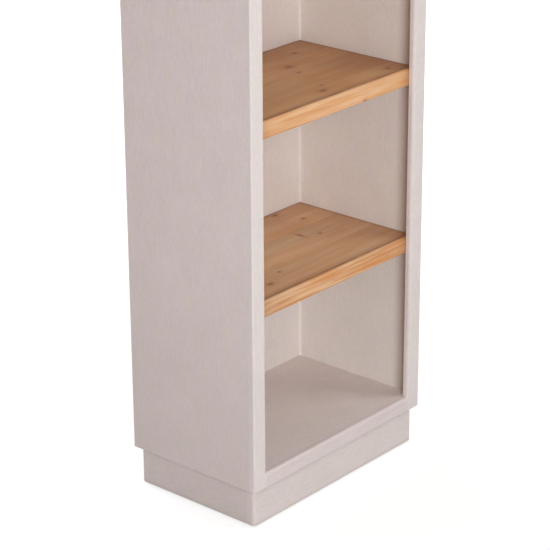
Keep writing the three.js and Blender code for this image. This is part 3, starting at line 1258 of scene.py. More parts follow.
@dataclass
class ScrewBox:
    """Countersunk cross-head screws: one is modelled, and the rest are copies."""

    head_radius: float = 4.2 * MM
    shank_radius: float = 2.2 * MM
    head_depth: float = 2.0 * MM
    length: float = 8 * MM
    cross_width: float = 1.0 * MM
    cross_length: float = 4.6 * MM
    cross_depth: float = 1.3 * MM
    crown: float = 0.15 * MM
    crown_share: float = 0.7
    rim: float = 0.2 * MM
    tip_share: float = 0.8
    steps: int = 24
    first_twist: float = 0.3
    twist_step: float = 0.6
    hole_gap: float = 0.25 * MM
    hole_above: float = 1 * MM
    pattern: Workpiece = field(init=False)

    def __post_init__(self) -> None:
        """Turns the head and shank, and sinks the cross."""
        profile = [
            (0, self.crown),
            (self.crown_share * self.head_radius, self.crown_share * self.crown),
            (self.head_radius - self.rim, 0),
            (self.head_radius, -self.crown),
            (self.shank_radius, -self.head_depth),
            (self.tip_share * self.shank_radius, -self.length),
            (0, -self.length),
        ]
        self.pattern = Workpiece.turned("screw_pattern", profile, Matrix.Identity(4), self.steps)
        for long_side in (0, 1):
            reach = Vector((self.cross_width / 2,) * 3)
            reach[long_side] = self.cross_length / 2
            reach.z = self.cross_depth
            slot = Workpiece.block("screw_slot", Box(-reach, reach))
            self.pattern.tool(slot, "DIFFERENCE")

    @staticmethod
    def facing(out: Vector) -> Matrix:
        """Turns a screw that stands upright so that its head looks the way out."""
        return Face.TOP.way.rotation_difference(out).to_matrix().to_4x4()

    def sink(self, piece: Workpiece, places: Sequence[Vector], out: Vector, depth: float) -> None:
        """Cuts countersunk holes, a little wider than the screws.

        Args:
            piece: the piece that is cut.
            places: the screws' places, as drive takes them.
            out: the direction in which the heads will look.
            depth: how far in the holes go, in metres.
        """
        mouth = self.head_radius + self.hole_gap
        bore = self.shank_radius + self.hole_gap
        above = self.hole_above
        under = -self.head_depth
        profile = [(0, -depth), (bore, -depth), (bore, under), (mouth, 0), (mouth, above), (0, above)]
        turn = self.facing(out)
        for place in places:
            hole = Workpiece.turned("hole", profile, Matrix.Translation(place) @ turn, self.steps)
            piece.tool(hole, "DIFFERENCE")

    def drive(self, name: str, body: Body, places: Sequence[Vector], out: Vector) -> bpy.types.Object:
        """Drives a row of screws and fits them as one piece.

        Args:
            name: the piece's name.
            body: the body that the screws are driven into.
            places: the middle of each head, level with its surface.
            out: the direction in which the heads look.

        Returns:
            The screws.
        """
        turn = self.facing(out)
        screws = []
        for number, place in enumerate(places):
            twist = Matrix.Rotation(self.twist_step * number + self.first_twist, 4, "Z")
            screws.append(self.pattern.copy(f"{name}_{number}", Matrix.Translation(place) @ turn @ twist))
        first = screws[0].gather(screws[1:]) if screws[1:] else screws[0]
        first.obj.name = name
        return first.fit(Steel(), body.value)


@dataclass
class Case:
    """The painted case: sides, top, floor, back, face frame and the filler in its corners."""

    shelves: int = 4
    bead: float = 4 * MM
    bead_share: float = 0.98
    bead_hollow: float = 0.12
    bead_segments: int = 6
    # Painted shade: the left side's paint darkens towards the floor over this height
    low_shade_height: float = 600 * MM
    low_shade_strength: float = 0.2
    # Painted light and shade: lighter copies of the paint for the sides, and a darker one for the back panel
    left_lit_colour: Colour = linear(230, 218, 216)
    right_lit_colour: Colour = linear(228, 221, 217)
    back_shaded_colour: Colour = linear(223, 215, 212)
    back_screw_edge: float = 6 * MM
    back_screws: int = 8

    def build(self, screws: ScrewBox) -> None:
        """Builds and fits the case.

        Args:
            screws: the box that the back panel's screws come from.
        """
        across = Paint(Run.ACROSS)
        frame_back = Box.of("face_stile_right").high.y
        sides = (
            ("side_left", Face.LEFT, Face.RIGHT, self.left_lit_colour, self.low_shade_height),
            ("side_right", Face.RIGHT, Face.LEFT, self.right_lit_colour, 0.0),
        )
        for node, out, inner, colour, low_shade_height in sides:
            # Each side gets painted shade behind its stile, and the left side also painted shade towards the
            # floor
            paint = Paint(
                Run.UPRIGHT,
                colour=colour,
                scuff_and_shade_height=low_shade_height,
                scuff_and_shade_strength=self.low_shade_strength,
                corner=(Box.of(node).level(inner), frame_back),
            )
            Board(node, paint, self.outer(out)).build()
        Board("back_panel", Paint(Run.UPRIGHT, colour=self.back_shaded_colour)).build()
        Board("floor_board", across).build()
        Board("top_board", across).build()
        FaceFrame().build()
        for side in (Face.LEFT, Face.RIGHT):
            self.corner_bead(side)
        self.fix_back(screws)

    @staticmethod
    def outer(side: Face) -> tuple[Arris, ...]:
        """The arrises of a side that nothing covers."""
        return (side, Face.BACK), (side, Face.BOTTOM), (side, Face.TOP)

    def corner_bead(self, side: Face) -> None:
        """Runs filler down a back corner, shelf by shelf, and hollows it.

        Args:
            side: the side that the back panel meets there.
        """
        back = Box.of("back_panel")
        shelves = [f"shelf_{number}" for number in range(1, self.shelves + 1)]
        floors = [Box.of(node) for node in ("floor_board", *shelves, "top_board")]
        free = Face.RIGHT if side is Face.LEFT else Face.LEFT
        corner = back.level(side)
        xs = sorted((corner, corner + free.way.x * self.bead))
        beads = []
        for floor, ceiling in zip(floors, floors[1:]):
            low = Vector((xs[0], back.low.y - self.bead, floor.high.z))
            box = Box(low, Vector((xs[1], back.low.y, ceiling.low.z)))
            bead = Workpiece.block(f"corner_bead_{side.name.lower()}", box)
            hollow = self.bead_share * self.bead
            bead.ease(box, [(Face.FRONT, free)], hollow, self.bead_segments, self.bead_hollow)
            beads.append(bead)
        beads[0].gather(beads[1:]).fit(Paint(Run.UPRIGHT), Body.CASE.value)

    def fix_back(self, screws: ScrewBox) -> None:
        """Screws the back panel on, down both edges.

        Args:
            screws: the box that the screws come from.
        """
        back = Box.of("back_panel")
        step = back.size.z / self.back_screws
        heights = [back.low.z + step * (n + 0.5) for n in range(self.back_screws)]
        places = [
            Vector((x, back.high.y, z))
            for x in (back.low.x + self.back_screw_edge, back.high.x - self.back_screw_edge)
            for z in heights
        ]
        screws.drive("back_panel_screws", Body.CASE, places, Face.BACK.way)


@dataclass(frozen=True)
class Plank:
    """What sets one pine shelf apart: tones, the tint of painted light on its top, streaks, joints and knots.

    Ends says how strong the painted shade is on the edge at its left end and on the top at its right end, and
    how strong the warm orange painted shade is on the edge at its right end.
    """

    early: Colour
    late: Colour
    top_light_tint: Colour
    streaks: float
    joints: tuple[float, ...]
    knots: tuple[Knot, ...]
    ends: tuple[float, float, float] = (0.1, 0.05, 0.1)


@dataclass
class Shelves:
    """The pine shelves and the painted cleats that carry them."""

    front_round: float = 4.5 * MM
    front_segments: int = 8
    round_margin: float = 2.5 * MM
    under_round: float = 2 * MM
    cleat_round: float = 2 * MM
    cleat_screw_edge: float = 30 * MM
    heart: Colour = linear(108, 64, 40)
    flat_contrast: float = 0.16
    flat_streaks: float = 0.2
    first_seed: float = 5.1
    seed_step: float = 3.1
    # Each plank's top tint is painted light, and its ends get painted shade
    planks: tuple[Plank, ...] = (
        Plank(
            early=linear(221, 170, 124),
            late=linear(197, 125, 71),
            top_light_tint=(1.05, 1.15, 1.23),
            streaks=0.62,
            joints=(91 * MM, 147 * MM, 187 * MM, 240 * MM),
            ends=(0.2, 0.0, 0.0),
            knots=(
                Knot(377 * MM, 272 * MM, 6 * MM),
                Knot(400 * MM, 218 * MM, 3.5 * MM),
                Knot(325 * MM, 163 * MM, 4 * MM, long=0.8, wide=2.6),
                Knot(359 * MM, 141 * MM, 3 * MM),
                Knot(155 * MM, 71 * MM, 3 * MM),
                Knot(100 * MM, 45 * MM, 5 * MM),
                Knot(120 * MM, 196 * MM, 8 * MM),
            ),
        ),
        Plank(
            early=linear(229, 178, 129),
            late=linear(203, 130, 74),
            top_light_tint=(0.82, 0.77, 0.63),
            streaks=0.36,
            joints=(56 * MM, 147 * MM, 214 * MM),
            ends=(0.12, 0.14, 0.24),
            knots=(
                Knot(314 * MM, 181 * MM, 6.5 * MM),
                Knot(392 * MM, 232 * MM, 5 * MM),
                Knot(241 * MM, 37 * MM, 6 * MM),
                Knot(298 * MM, 144 * MM, 3 * MM),
                Knot(264 * MM, 60 * MM, 2.5 * MM),
                Knot(426 * MM, 31 * MM, 4 * MM),
                Knot(318 * MM, 1.5 * MM, 3.5 * MM, Run.DEEP),
                Knot(90 * MM, 210 * MM, 7 * MM),
            ),
        ),
        Plank(
            early=linear(226, 176, 128),
            late=linear(201, 129, 74),
            top_light_tint=(0.92, 0.96, 0.98),
            streaks=0.52,
            joints=(70 * MM, 128 * MM, 205 * MM),
            knots=(
                Knot(60 * MM, 120 * MM, 7 * MM),
                Knot(210 * MM, 222 * MM, 5 * MM),
                Knot(330 * MM, 60 * MM, 6 * MM),
                Knot(405 * MM, 165 * MM, 4 * MM),
            ),
        ),
        Plank(
            early=linear(229, 180, 135),
            late=linear(203, 133, 80),
            top_light_tint=(0.88, 0.90, 0.88),
            streaks=0.44,
            joints=(48 * MM, 117 * MM, 180 * MM, 238 * MM),
            knots=(
                Knot(140 * MM, 40 * MM, 6 * MM),
                Knot(250 * MM, 150 * MM, 4 * MM),
                Knot(415 * MM, 100 * MM, 7 * MM),
                Knot(80 * MM, 250 * MM, 5 * MM),
            ),
        ),
    )

    def build(self, screws: ScrewBox) -> None:
        """Builds and fits the shelves with their cleats.

        Args:
            screws: the box that the cleats' screws come from.
        """
        for number, plank in enumerate(self.planks, 1):
            node = f"shelf_{number}"
            box = Box.of(node)
            wax = Timber(
                name=f"waxed_pine_{number}",
                slot="waxed_pine",
                start=tuple(box.low),
                grain=Run.ACROSS,
                seed=self.first_seed + self.seed_step * (number - 1),
                early=plank.early,
                late=plank.late,
                heart=self.heart,
                flat_contrast=self.flat_contrast,
                flat_streaks=self.flat_streaks,
                edge_streaks=plank.streaks,
                # The top's tint is painted light
                top_light_tint=plank.top_light_tint,
                joints=plank.joints,
                knots=plank.knots,
                round_start=self.front_round + self.round_margin,
                # Painted shade in the corners and at the ends
                corners=(box.size.x, box.size.y),
                ends=plank.ends,
            )
            shelf = Workpiece.block(f"{node}_board", box)
            shelf.ease(box, [(Face.FRONT, Face.TOP)], self.front_round, self.front_segments)
            shelf.ease(box, [(Face.FRONT, Face.BOTTOM)], self.under_round)
            shelf.fit(wax, Body.CASE.value, [node])
            for side, out in (("left", Face.RIGHT), ("right", Face.LEFT)):
                self.cleat(f"{node}_cleat_{side}", out, screws)

    def cleat(self, node: str, out: Face, screws: ScrewBox) -> None:
        """Fits one cleat and its screws.

        Args:
            node: the CAD node.
            out: the cleat's face that looks into the case.
            screws: the box that its screws come from.
        """
        arrises = ((out, Face.BOTTOM), (out, Face.FRONT), (Face.FRONT, Face.BOTTOM))
        Board(node, Paint(Run.DEEP), arrises, self.cleat_round).build()
        box = Box.of(node)
        ends = (box.low.y + self.cleat_screw_edge, box.centre.y, box.high.y - self.cleat_screw_edge)
        places = [Vector((box.level(out), y, box.centre.z)) for y in ends]
        screws.drive(f"{node}_screws", Body.CASE, places, out.way)


@dataclass
class Plinth:
    """The painted plinth, set back under the case."""

    corner_round: float = 7 * MM
    # Painted shade towards the floor, which on the plinth also stands for scuffs
    scuff_and_shade_height: float = 14 * MM
    # Painted shade: the plinth's paint is darker than the case's, and its ends darker still
    colour: Colour = linear(223, 213, 210)
    end_shaded_colour: Colour = linear(219, 208, 205)

    def build(self) -> None:
        """Builds and fits the four boards."""
        paint = Paint(Run.ACROSS, colour=self.colour, scuff_and_shade_height=self.scuff_and_shade_height)
        deep = Paint(Run.DEEP, colour=self.end_shaded_colour, scuff_and_shade_height=self.scuff_and_shade_height)
        front = ((Face.FRONT, Face.LEFT), (Face.FRONT, Face.RIGHT))
        back = ((Face.BACK, Face.LEFT), (Face.BACK, Face.RIGHT))
        Board("plinth_front", paint, front, self.corner_round).build()
        Board("plinth_back", paint, back, self.corner_round).build()
        Board("plinth_left", deep).build()
        Board("plinth_right", deep).build()


@dataclass
class WallFrame:
    """The planed softwood frame behind the case, screwed to the wall."""

    arris: float = 2 * MM
    screw_heights: tuple[float, ...] = (120 * MM, 620 * MM, 1220 * MM, 1660 * MM)
    head_screw_shares: tuple[float, ...] = (0.15, 0.5, 0.85)
    knot_heights: tuple[float, ...] = (310 * MM, 840 * MM, 1430 * MM)
    knot_places: tuple[float, float] = (12 * MM, 28 * MM)
    knot_radius: float = 5 * MM
    early: Colour = linear(228, 206, 174)
    late: Colour = linear(200, 160, 116)
    heart: Colour = linear(132, 92, 64)
    flat_streaks: float = 0.16
    roughness: float = 0.62

    def build(self, screws: ScrewBox) -> None:
        """Builds and fits the posts and the head.

        Args:
            screws: the box that the wall screws come from.
        """
        upright = tuple((side, face) for side in (Face.LEFT, Face.RIGHT) for face in (Face.FRONT, Face.BACK))
        level = ((Face.FRONT, Face.BOTTOM), (Face.FRONT, Face.TOP), (Face.BACK, Face.BOTTOM))
        for node, grain, seed, arrises in (
            ("hinge_post", Run.UPRIGHT, 11.0, upright),
            ("latch_post", Run.UPRIGHT, 12.0, upright),
            ("frame_head", Run.ACROSS, 16.0, level),
        ):
            Board(node, self.softwood(node, grain, seed), arrises, self.arris, Body.FRAME).build()
            box = Box.of(node)
            if grain is Run.UPRIGHT:
                spots = [(box.centre.x, height) for height in self.screw_heights]
            else:
                spots = [(box.low.x + share * box.size.x, box.centre.z) for share in self.head_screw_shares]
            places = [Vector((x, box.low.y, z)) for x, z in spots]
            screws.drive(f"{node}_screws", Body.FRAME, places, Face.FRONT.way)

    def softwood(self, node: str, grain: Run, seed: float) -> Timber:
        """The planed softwood of one member.

        Args:
            node: the member's CAD node.
            grain: the way its grain runs.
            seed: picks its tree.

        Returns:
            The finish.
        """
        knots = tuple(
            Knot(height, self.knot_places[n % 2], self.knot_radius)
            for n, height in enumerate(self.knot_heights)
        )
        return Timber(
            name=f"planed_{node}",
            slot="frame_pine",
            start=tuple(Box.of(node).low),
            grain=grain,
            seed=seed,
            early=self.early,
            late=self.late,
            heart=self.heart,
            knots=knots if grain is Run.UPRIGHT else (),
            flat_streaks=self.flat_streaks,
            roughness=self.roughness,
        )


@dataclass
class Hinges:
    """Three butt hinges with five knuckles each: leaf on the post, leaf on the case, loose pin.

    The dome of a pin's head is given point by point, as shares of its radius and height.
    """

    levels: tuple[str, ...] = ("lower", "middle", "upper")
    knuckles: int = 5
    knuckle_radius: float = 6 * MM
    knuckle_clearance: float = 0.5 * MM
    knuckle_gap: float = 0.4 * MM
    leaf_gap: float = 0.6 * MM
    thickness: float = 2.5 * MM
    bore: float = 3.3 * MM
    pin_radius: float = 3 * MM
    pin_head: float = 4.5 * MM
    pin_head_height: float = 3 * MM
    pin_dome: tuple[tuple[float, float], ...] = ((1.0, 0.0), (0.92, 0.5), (0.6, 0.9), (0.0, 1.0))
    pin_seat: float = 0.3 * MM
    corner: float = 5 * MM
    corner_segments: int = 6
    overrun: float = 2 * MM
    screw_edge: float = 9 * MM

    def __post_init__(self) -> None:
        """Reads the pins' line and the leaves' size from the frame."""
        swing = next(joint for joint in frame["joints"] if joint["name"] == "bookcase_swing")
        self.line = Vector((swing["pos_m"][0], swing["pos_m"][1], 0))
        leaf = Box.of("hinge_lower_case_leaf")
        self.height = leaf.size.z
        self.plate_end = leaf.low.x - self.line.x
        self.plate_edge = -(self.knuckle_radius + self.knuckle_clearance)

    def plate(self, side: int) -> Box:
        """The flat of a leaf about its pin: side is 1 for the post's leaf and -1 for the case's."""
        ys = sorted((side * self.leaf_gap / 2, side * (self.leaf_gap / 2 + self.thickness)))
        return Box(Vector((self.plate_end, ys[0], 0)), Vector((self.plate_edge, ys[1], self.height)))

    def screw_places(self, side: int, screws: ScrewBox) -> list[Vector]:
        """Where a leaf's screws go about its pin: their heads are flush, to clear the other leaf.

        Args:
            side: 1 for the post's leaf and -1 for the case's.
            screws: the box that they come from.

        Returns:
            The middle of each head.
        """
        near = self.plate_edge - self.screw_edge
        far = self.plate_end + self.screw_edge
        y = side * (self.leaf_gap / 2 + screws.crown)
        spots = ((near, self.screw_edge), (far, self.height / 2), (near, self.height - self.screw_edge))
        return [Vector((x, y, z)) for x, z in spots]

    def leaf(self, side: int, screws: ScrewBox) -> Workpiece:
        """One leaf about its pin, at the origin.

        Args:
            side: 1 for the post's leaf and -1 for the case's.
            screws: the box that its screws come from.

        Returns:
            The leaf with its knuckles rolled and bored and its screw holes sunk.
        """
        plate = self.plate(side)
        leaf = Workpiece.block("leaf_pattern", plate)
        corners = [(Face.LEFT, Face.BOTTOM), (Face.LEFT, Face.TOP)]
        leaf.ease(plate, corners, self.corner, self.corner_segments)
        pitch = self.height / self.knuckles
        for n in range(0 if side > 0 else 1, self.knuckles, 2):
            low = n * pitch + (self.knuckle_gap / 2 if n else 0)
            high = (n + 1) * pitch - (self.knuckle_gap / 2 if n < self.knuckles - 1 else 0)
            web = Box(
                Vector((self.plate_edge - self.thickness, plate.low.y, low)),
                Vector((0, plate.high.y, high)),
            )
            leaf.tool(Workpiece.block("web", web), "UNION")
            leaf.tool(self.rod(self.knuckle_radius, low, high), "UNION")
        screws.sink(leaf, self.screw_places(side, screws), Vector((0, -side, 0)), 2 * self.thickness)
        return leaf.tool(self.rod(self.bore, -self.overrun, self.height + self.overrun), "DIFFERENCE")

    @staticmethod
    def rod(radius: float, low: float, high: float) -> Workpiece:
        """An upright round bar on the pin's line."""
        profile = [(0, low), (radius, low), (radius, high), (0, high)]
        return Workpiece.turned("rod", profile, Matrix.Identity(4))

    def pin(self) -> Workpiece:
        """The pin with its domed heads, at the origin.

        Returns:
            The pin.
        """
        top = self.height + self.pin_seat
        dome = [(share * self.pin_head, rise * self.pin_head_height) for share, rise in self.pin_dome]
        foot = [(radius, -self.pin_seat - rise) for radius, rise in reversed(dome)]
        head = [(radius, top + rise) for radius, rise in dome]
        profile = [*foot, (self.pin_radius, -self.pin_seat), (self.pin_radius, top), *head]
        return Workpiece.turned("pin_pattern", profile, Matrix.Identity(4))

    def build(self, screws: ScrewBox) -> None:
        """Builds and fits all the hinges.

        Args:
            screws: the box that their screws come from.
        """
        case_leaf = self.leaf(-1, screws)
        post_leaf = self.leaf(1, screws)
        pin = self.pin()
        for level in self.levels:
            foot = Box.of(f"hinge_{level}_case_leaf").low.z
            place = Matrix.Translation(self.line + Vector((0, 0, foot)))
            parts = [
                ("case_leaf", case_leaf, Body.CASE, -1),
                ("post_leaf", post_leaf, Body.FRAME, 1),
                ("pin", pin, Body.FRAME, 0),
            ]
            for part, pattern, body, side in parts:
                node = f"hinge_{level}_{part}"
                pattern.copy(f"{node}_steel", place).fit(Steel(), body.value, [node])
                if side:
                    places = [place @ spot for spot in self.screw_places(side, screws)]
                    screws.drive(f"{node}_screws", body, places, Vector((0, -side, 0)))
        for pattern in (case_leaf, post_leaf, pin):
            pattern.scrap()


@dataclass
class Castors:
    """Four fixed castors inside the plinth: pressed fork, riveted axle, nylon wheel.

    The dome of a rivet is given point by point, as shares of its radius and height.
    """

    corners: tuple[str, ...] = ("front_left", "front_right", "rear_left", "rear_right")
    plate_length: float = 56 * MM
    plate_width: float = 42 * MM
    plate_corner: float = 6 * MM
    corner_segments: int = 6
    sheet: float = 2.5 * MM
    top: float = 78.7 * MM
    fork_length: float = 38 * MM
    boss: float = 8 * MM
    foot_share: float = 0.7
    foot_segments: int = 8
    wheel_radius: float = 25 * MM
    wheel_width: float = 18 * MM
    wheel_steps: int = 96
    side_gap: float = 0.6 * MM
    hub: float = 16 * MM
    hub_recess: float = 2 * MM
    hub_slope: float = 0.8 * MM
    wheel_boss: float = 8 * MM
    shoulder: float = 4 * MM
    shoulder_facets: int = 6
    axle: float = 4 * MM
    bearing: float = 0.3 * MM
    rivet: float = 6.5 * MM
    rivet_height: float = 3.5 * MM
    rivet_dome: tuple[tuple[float, float], ...] = ((1.0, 0.0), (0.9, 0.55), (0.55, 0.9), (0.0, 1.0))
    overrun: float = 2 * MM
    plate_screw_edge: float = 7 * MM

    def on_axle(self) -> Matrix:
        """Carries the lathe's axis to the axle's line, across the castor."""
        return Matrix.Translation((0, 0, self.wheel_radius)) @ Matrix.Rotation(math.pi / 2, 4, "Y")

    def wheel(self) -> Workpiece:
        """The wheel at the origin, its tread rounded at the shoulders.

        Returns:
            The wheel.
        """
        half = self.wheel_width / 2
        core = (self.wheel_radius - self.shoulder, half - self.shoulder)
        steps = [math.pi / 2 * n / self.shoulder_facets for n in range(self.shoulder_facets + 1)]
        shoulder = [
            (core[0] + self.shoulder * math.cos(a), core[1] + self.shoulder * math.sin(a)) for a in steps
        ]
        side = [
            (self.hub, half),
            (self.hub - self.hub_slope, half - self.hub_recess),
            (self.wheel_boss + self.hub_slope, half - self.hub_recess),
            (self.wheel_boss, half),
            (self.axle + self.bearing, half),
        ]
        outer = [*shoulder, *side]
        mirrored = [(radius, -height) for radius, height in reversed(outer)]
        profile = [*mirrored, *outer, mirrored[0]]
        return Workpiece.turned("wheel_pattern", profile, self.on_axle(), self.wheel_steps)

    def screw_places(self, screws: ScrewBox) -> list[Vector]:
        """Where the plate's screws go, with the castor at the origin.

        Args:
            screws: the box that they come from.

        Returns:
            The middle of each head.
        """
        x = self.plate_width / 2 - self.plate_screw_edge
        y = self.plate_length / 2 - self.plate_screw_edge
        under = self.top - self.sheet + screws.crown
        return [Vector((i * x, j * y, under)) for i in (-1, 1) for j in (-1, 1)]

    def fork(self, screws: ScrewBox) -> Workpiece:
        """The fork at the origin: a plate with round corners and two legs that narrow to the axle.

        Args:
            screws: the box that its screws come from.

        Returns:
            The fork.
        """
        reach = Vector((self.plate_width / 2, self.plate_length / 2, 0))
        under = self.top - self.sheet
        plate = Box(-reach + Vector((0, 0, under)), reach + Vector((0, 0, self.top)))
        fork = Workpiece.block("fork_pattern", plate)
        sides = [(x, y) for x in (Face.LEFT, Face.RIGHT) for y in (Face.FRONT, Face.BACK)]
        fork.ease(plate, sides, self.plate_corner, self.corner_segments)
        screws.sink(fork, self.screw_places(screws), Face.BOTTOM.way, 2 * self.sheet)
        inner = self.wheel_width / 2 + self.side_gap
        for low in (-inner - self.sheet, inner):
            fork.tool(self.leg(low, low + self.sheet), "UNION")
        far = inner + self.sheet + self.overrun
        bore = self.axle + self.bearing
        profile = [(0, -far), (bore, -far), (bore, far), (0, far)]
        return fork.tool(Workpiece.turned("axle_bore", profile, self.on_axle()), "DIFFERENCE")

    def leg(self, low: float, high: float) -> Workpiece:
        """One leg of the fork, narrowed to a round end.

        Args:
            low: its inner or outer face, whichever is lower.
            high: the other face.

        Returns:
            The leg.
        """
        half = self.fork_length / 2
        foot = self.wheel_radius - self.boss
        box = Box(Vector((low, -half, foot)), Vector((high, half, self.top - self.sheet / 2)))
        leg = Workpiece.block("leg", box)
        with leg.editing():
            leg.pick("VERT", lambda vertex: abs(vertex.co.z - foot) < NEAR)
            bpy.ops.transform.resize(value=(1, self.boss / half, 1), center_override=(0, 0, foot))
            leg.pick("EDGE", lambda edge: self.is_foot_edge(edge, box))
            corner = self.foot_share * self.boss
            bpy.ops.mesh.bevel(offset=corner, segments=self.foot_segments, profile=0.5, affect="EDGES")
        return leg

    @staticmethod
    def is_foot_edge(edge: bmesh.types.BMEdge, box: Box) -> bool:
        """Whether an edge crosses the sheet at the leg's foot."""
        first, second = (vertex.co for vertex in edge.verts)
        return box.holds(edge, Face.BOTTOM) and abs(first.y - second.y) < NEAR

    def axle_pin(self) -> Workpiece:
        """The axle at the origin, with a domed rivet head at each end.

        Returns:
            The axle.
        """
        shaft = self.wheel_width / 2 + self.side_gap + self.sheet + self.bearing
        dome = [(part * self.rivet, shaft + rise * self.rivet_height) for part, rise in self.rivet_dome]
        half = [(self.axle, shaft), *dome]
        profile = [*((radius, -height) for radius, height in reversed(half)), *half]
        return Workpiece.turned("axle_pattern", profile, self.on_axle())

    def build(self, screws: ScrewBox) -> None:
        """Builds and fits all the castors.

        Args:
            screws: the box that their screws come from.
        """
        patterns = {"fork": self.fork(screws), "axle": self.axle_pin(), "wheel": self.wheel()}
        for corner in self.corners:
            roll = next(joint for joint in frame["joints"] if joint["name"] == f"castor_{corner}_roll")
            line = Vector(roll["axis"])
            turn = Matrix.Rotation(math.atan2(line.y, line.x), 4, "Z")
            place = Matrix.Translation((roll["pos_m"][0], roll["pos_m"][1], 0)) @ turn
            for part, pattern in patterns.items():
                node = f"castor_{corner}_{part}"
                piece = pattern.copy(f"{node}_made", place)
                if part == "wheel":
                    piece.fit(NYLON, f"castor_wheel_{corner}", [node])
                else:
                    piece.fit(Steel(), Body.CASE.value, [node])
            places = [place @ spot for spot in self.screw_places(screws)]
            screws.drive(f"castor_{corner}_screws", Body.CASE, places, Face.BOTTOM.way)
        for pattern in patterns.values():
            pattern.scrap()


@dataclass
class PushLatch:
    """The push latch on its post, its plunger, and the steel keeper on the back panel."""

    edge: float = 2 * MM
    bore_gap: float = 0.3 * MM
    bore: Span = (-4 * MM, 24 * MM)
    groove: float = 1 * MM
    groove_pitch: float = 3 * MM
    groove_depth: float = 0.6 * MM
    groove_reach: float = 12 * MM
    grooves: int = 6
    screw_edge: float = 9 * MM
    screw_depth: float = 10 * MM
    tip_round: float = 2 * MM
    tip_facets: int = 5
    keeper_corner: float = 3 * MM
    keeper_segments: int = 5
    keeper_screw: float = 7.5 * MM
    keeper_screw_depth: float = 2 * MM

    def build(self, screws: ScrewBox) -> None:
        """Builds and fits the latch.

        Args:
            screws: the box that its screws come from.
        """
        self.housing(screws)
        self.plunger()
        self.keeper(screws)

    @staticmethod
    def inward(mouth: Vector) -> Matrix:
        """Carries the lathe's axis to the plunger's line, from the mouth back."""
        return Matrix.Translation(mouth) @ Matrix.Rotation(-math.pi / 2, 4, "X")

    def housing(self, screws: ScrewBox) -> None:
        """Moulds the housing: rounded, grooved and bored for the plunger.

        Args:
            screws: the box that its screws come from.
        """
        box = Box.of("latch_housing")
        plunger = Box.of("latch_plunger")
        housing = Workpiece.block("latch_housing_moulded", box)
        free = [
            (Face.RIGHT, Face.FRONT),
            (Face.RIGHT, Face.BACK),
            (Face.RIGHT, Face.TOP),
            (Face.RIGHT, Face.BOTTOM),
            (Face.FRONT, Face.TOP),
            (Face.FRONT, Face.BOTTOM),
        ]
        housing.ease(box, free, self.edge)
        radius = plunger.size.x / 2 + self.bore_gap
        start, end = self.bore
        profile = [(0, start), (radius, start), (radius, end), (0, end)]
        mouth = Vector((plunger.centre.x, box.low.y, plunger.centre.z))
        housing.tool(Workpiece.turned("latch_bore", profile, self.inward(mouth)), "DIFFERENCE")
        for n in range(self.grooves):
            y = box.centre.y + (n - (self.grooves - 1) / 2) * self.groove_pitch
            half = self.groove / 2
            low = Vector((box.high.x - self.groove_depth, y - half, box.centre.z - self.groove_reach))
            high = Vector((box.high.x + self.groove, y + half, box.centre.z + self.groove_reach))
            housing.tool(Workpiece.block("groove", Box(low, high)), "DIFFERENCE")
        heights = (box.low.z + self.screw_edge, box.high.z - self.screw_edge)
        places = [Vector((box.high.x - screws.crown, box.centre.y, z)) for z in heights]
        screws.sink(housing, places, Face.RIGHT.way, self.screw_depth)
        housing.fit(LATCH_PLASTIC, Body.FRAME.value, ["latch_housing"])
        screws.drive("latch_housing_screws", Body.FRAME, places, Face.RIGHT.way)

    def plunger(self) -> None:
        """Moulds the plunger, with its domed tip."""
        box = Box.of("latch_plunger")
        radius = box.size.x / 2
        core = radius - self.tip_round
        steps = [math.pi / 2 * n / self.tip_facets for n in range(self.tip_facets + 1)]
        tip = [(core + self.tip_round * math.sin(a), self.tip_round * (1 - math.cos(a))) for a in steps]
        profile = [(0, 0), *tip, (radius, box.size.y), (0, box.size.y)]
        mouth = Vector((box.centre.x, box.low.y, box.centre.z))
        plunger = Workpiece.turned("latch_plunger_moulded", profile, self.inward(mouth))
        plunger.fit(LATCH_PLASTIC, Body.PLUNGER.value, ["latch_plunger"])

    def keeper(self, screws: ScrewBox) -> None:
        """Cuts the keeper plate, with rounded corners.

        Args:
            screws: the box that its screws come from.
        """
        box = Box.of("latch_keeper")
        keeper = Workpiece.block("latch_keeper_plate", box)
        corners = [(x, z) for x in (Face.LEFT, Face.RIGHT) for z in (Face.BOTTOM, Face.TOP)]
        keeper.ease(box, corners, self.keeper_corner, self.keeper_segments)
        y = box.high.y - screws.crown
        places = [Vector((box.centre.x, y, box.centre.z + side * self.keeper_screw)) for side in (-1, 1)]
        screws.sink(keeper, places, Face.BACK.way, self.keeper_screw_depth)
        keeper.fit(Steel(), Body.CASE.value, ["latch_keeper"])
        screws.drive("latch_keeper_screws", Body.CASE, places, Face.BACK.way)


@dataclass
class PhotoCamera:
    """The photograph's camera, as fitted to the edges of the case."""

    place: tuple[float, float, float] = (-2.93298, -2.53826, 1.97586)
    yaw: float = 49.175
    pitch: float = 22.1892
    roll: float = -0.3167
    focal_pixels: float = 2170.99
    image_pixels: float = 550.0
    sensor: float = 36.0
    sees_to: float = 200.0

    def build(self) -> None:
        """Sets the camera up."""
        data = bpy.data.cameras.new("photo_camera")
        data.sensor_width = self.sensor
        data.lens = self.sensor * self.focal_pixels / self.image_pixels
        data.clip_end = self.sees_to
        camera = bpy.data.objects.new("photo_camera", data)
        bpy.context.collection.objects.link(camera)
        turn = Matrix.Rotation(-math.radians(self.yaw), 4, "Z")
        nod = Matrix.Rotation(math.pi / 2 - math.radians(self.pitch), 4, "X")
        tilt = Matrix.Rotation(math.radians(self.roll), 4, "Z")
        camera.matrix_world = Matrix.Translation(self.place) @ turn @ nod @ tilt
        bpy.context.scene.camera = camera


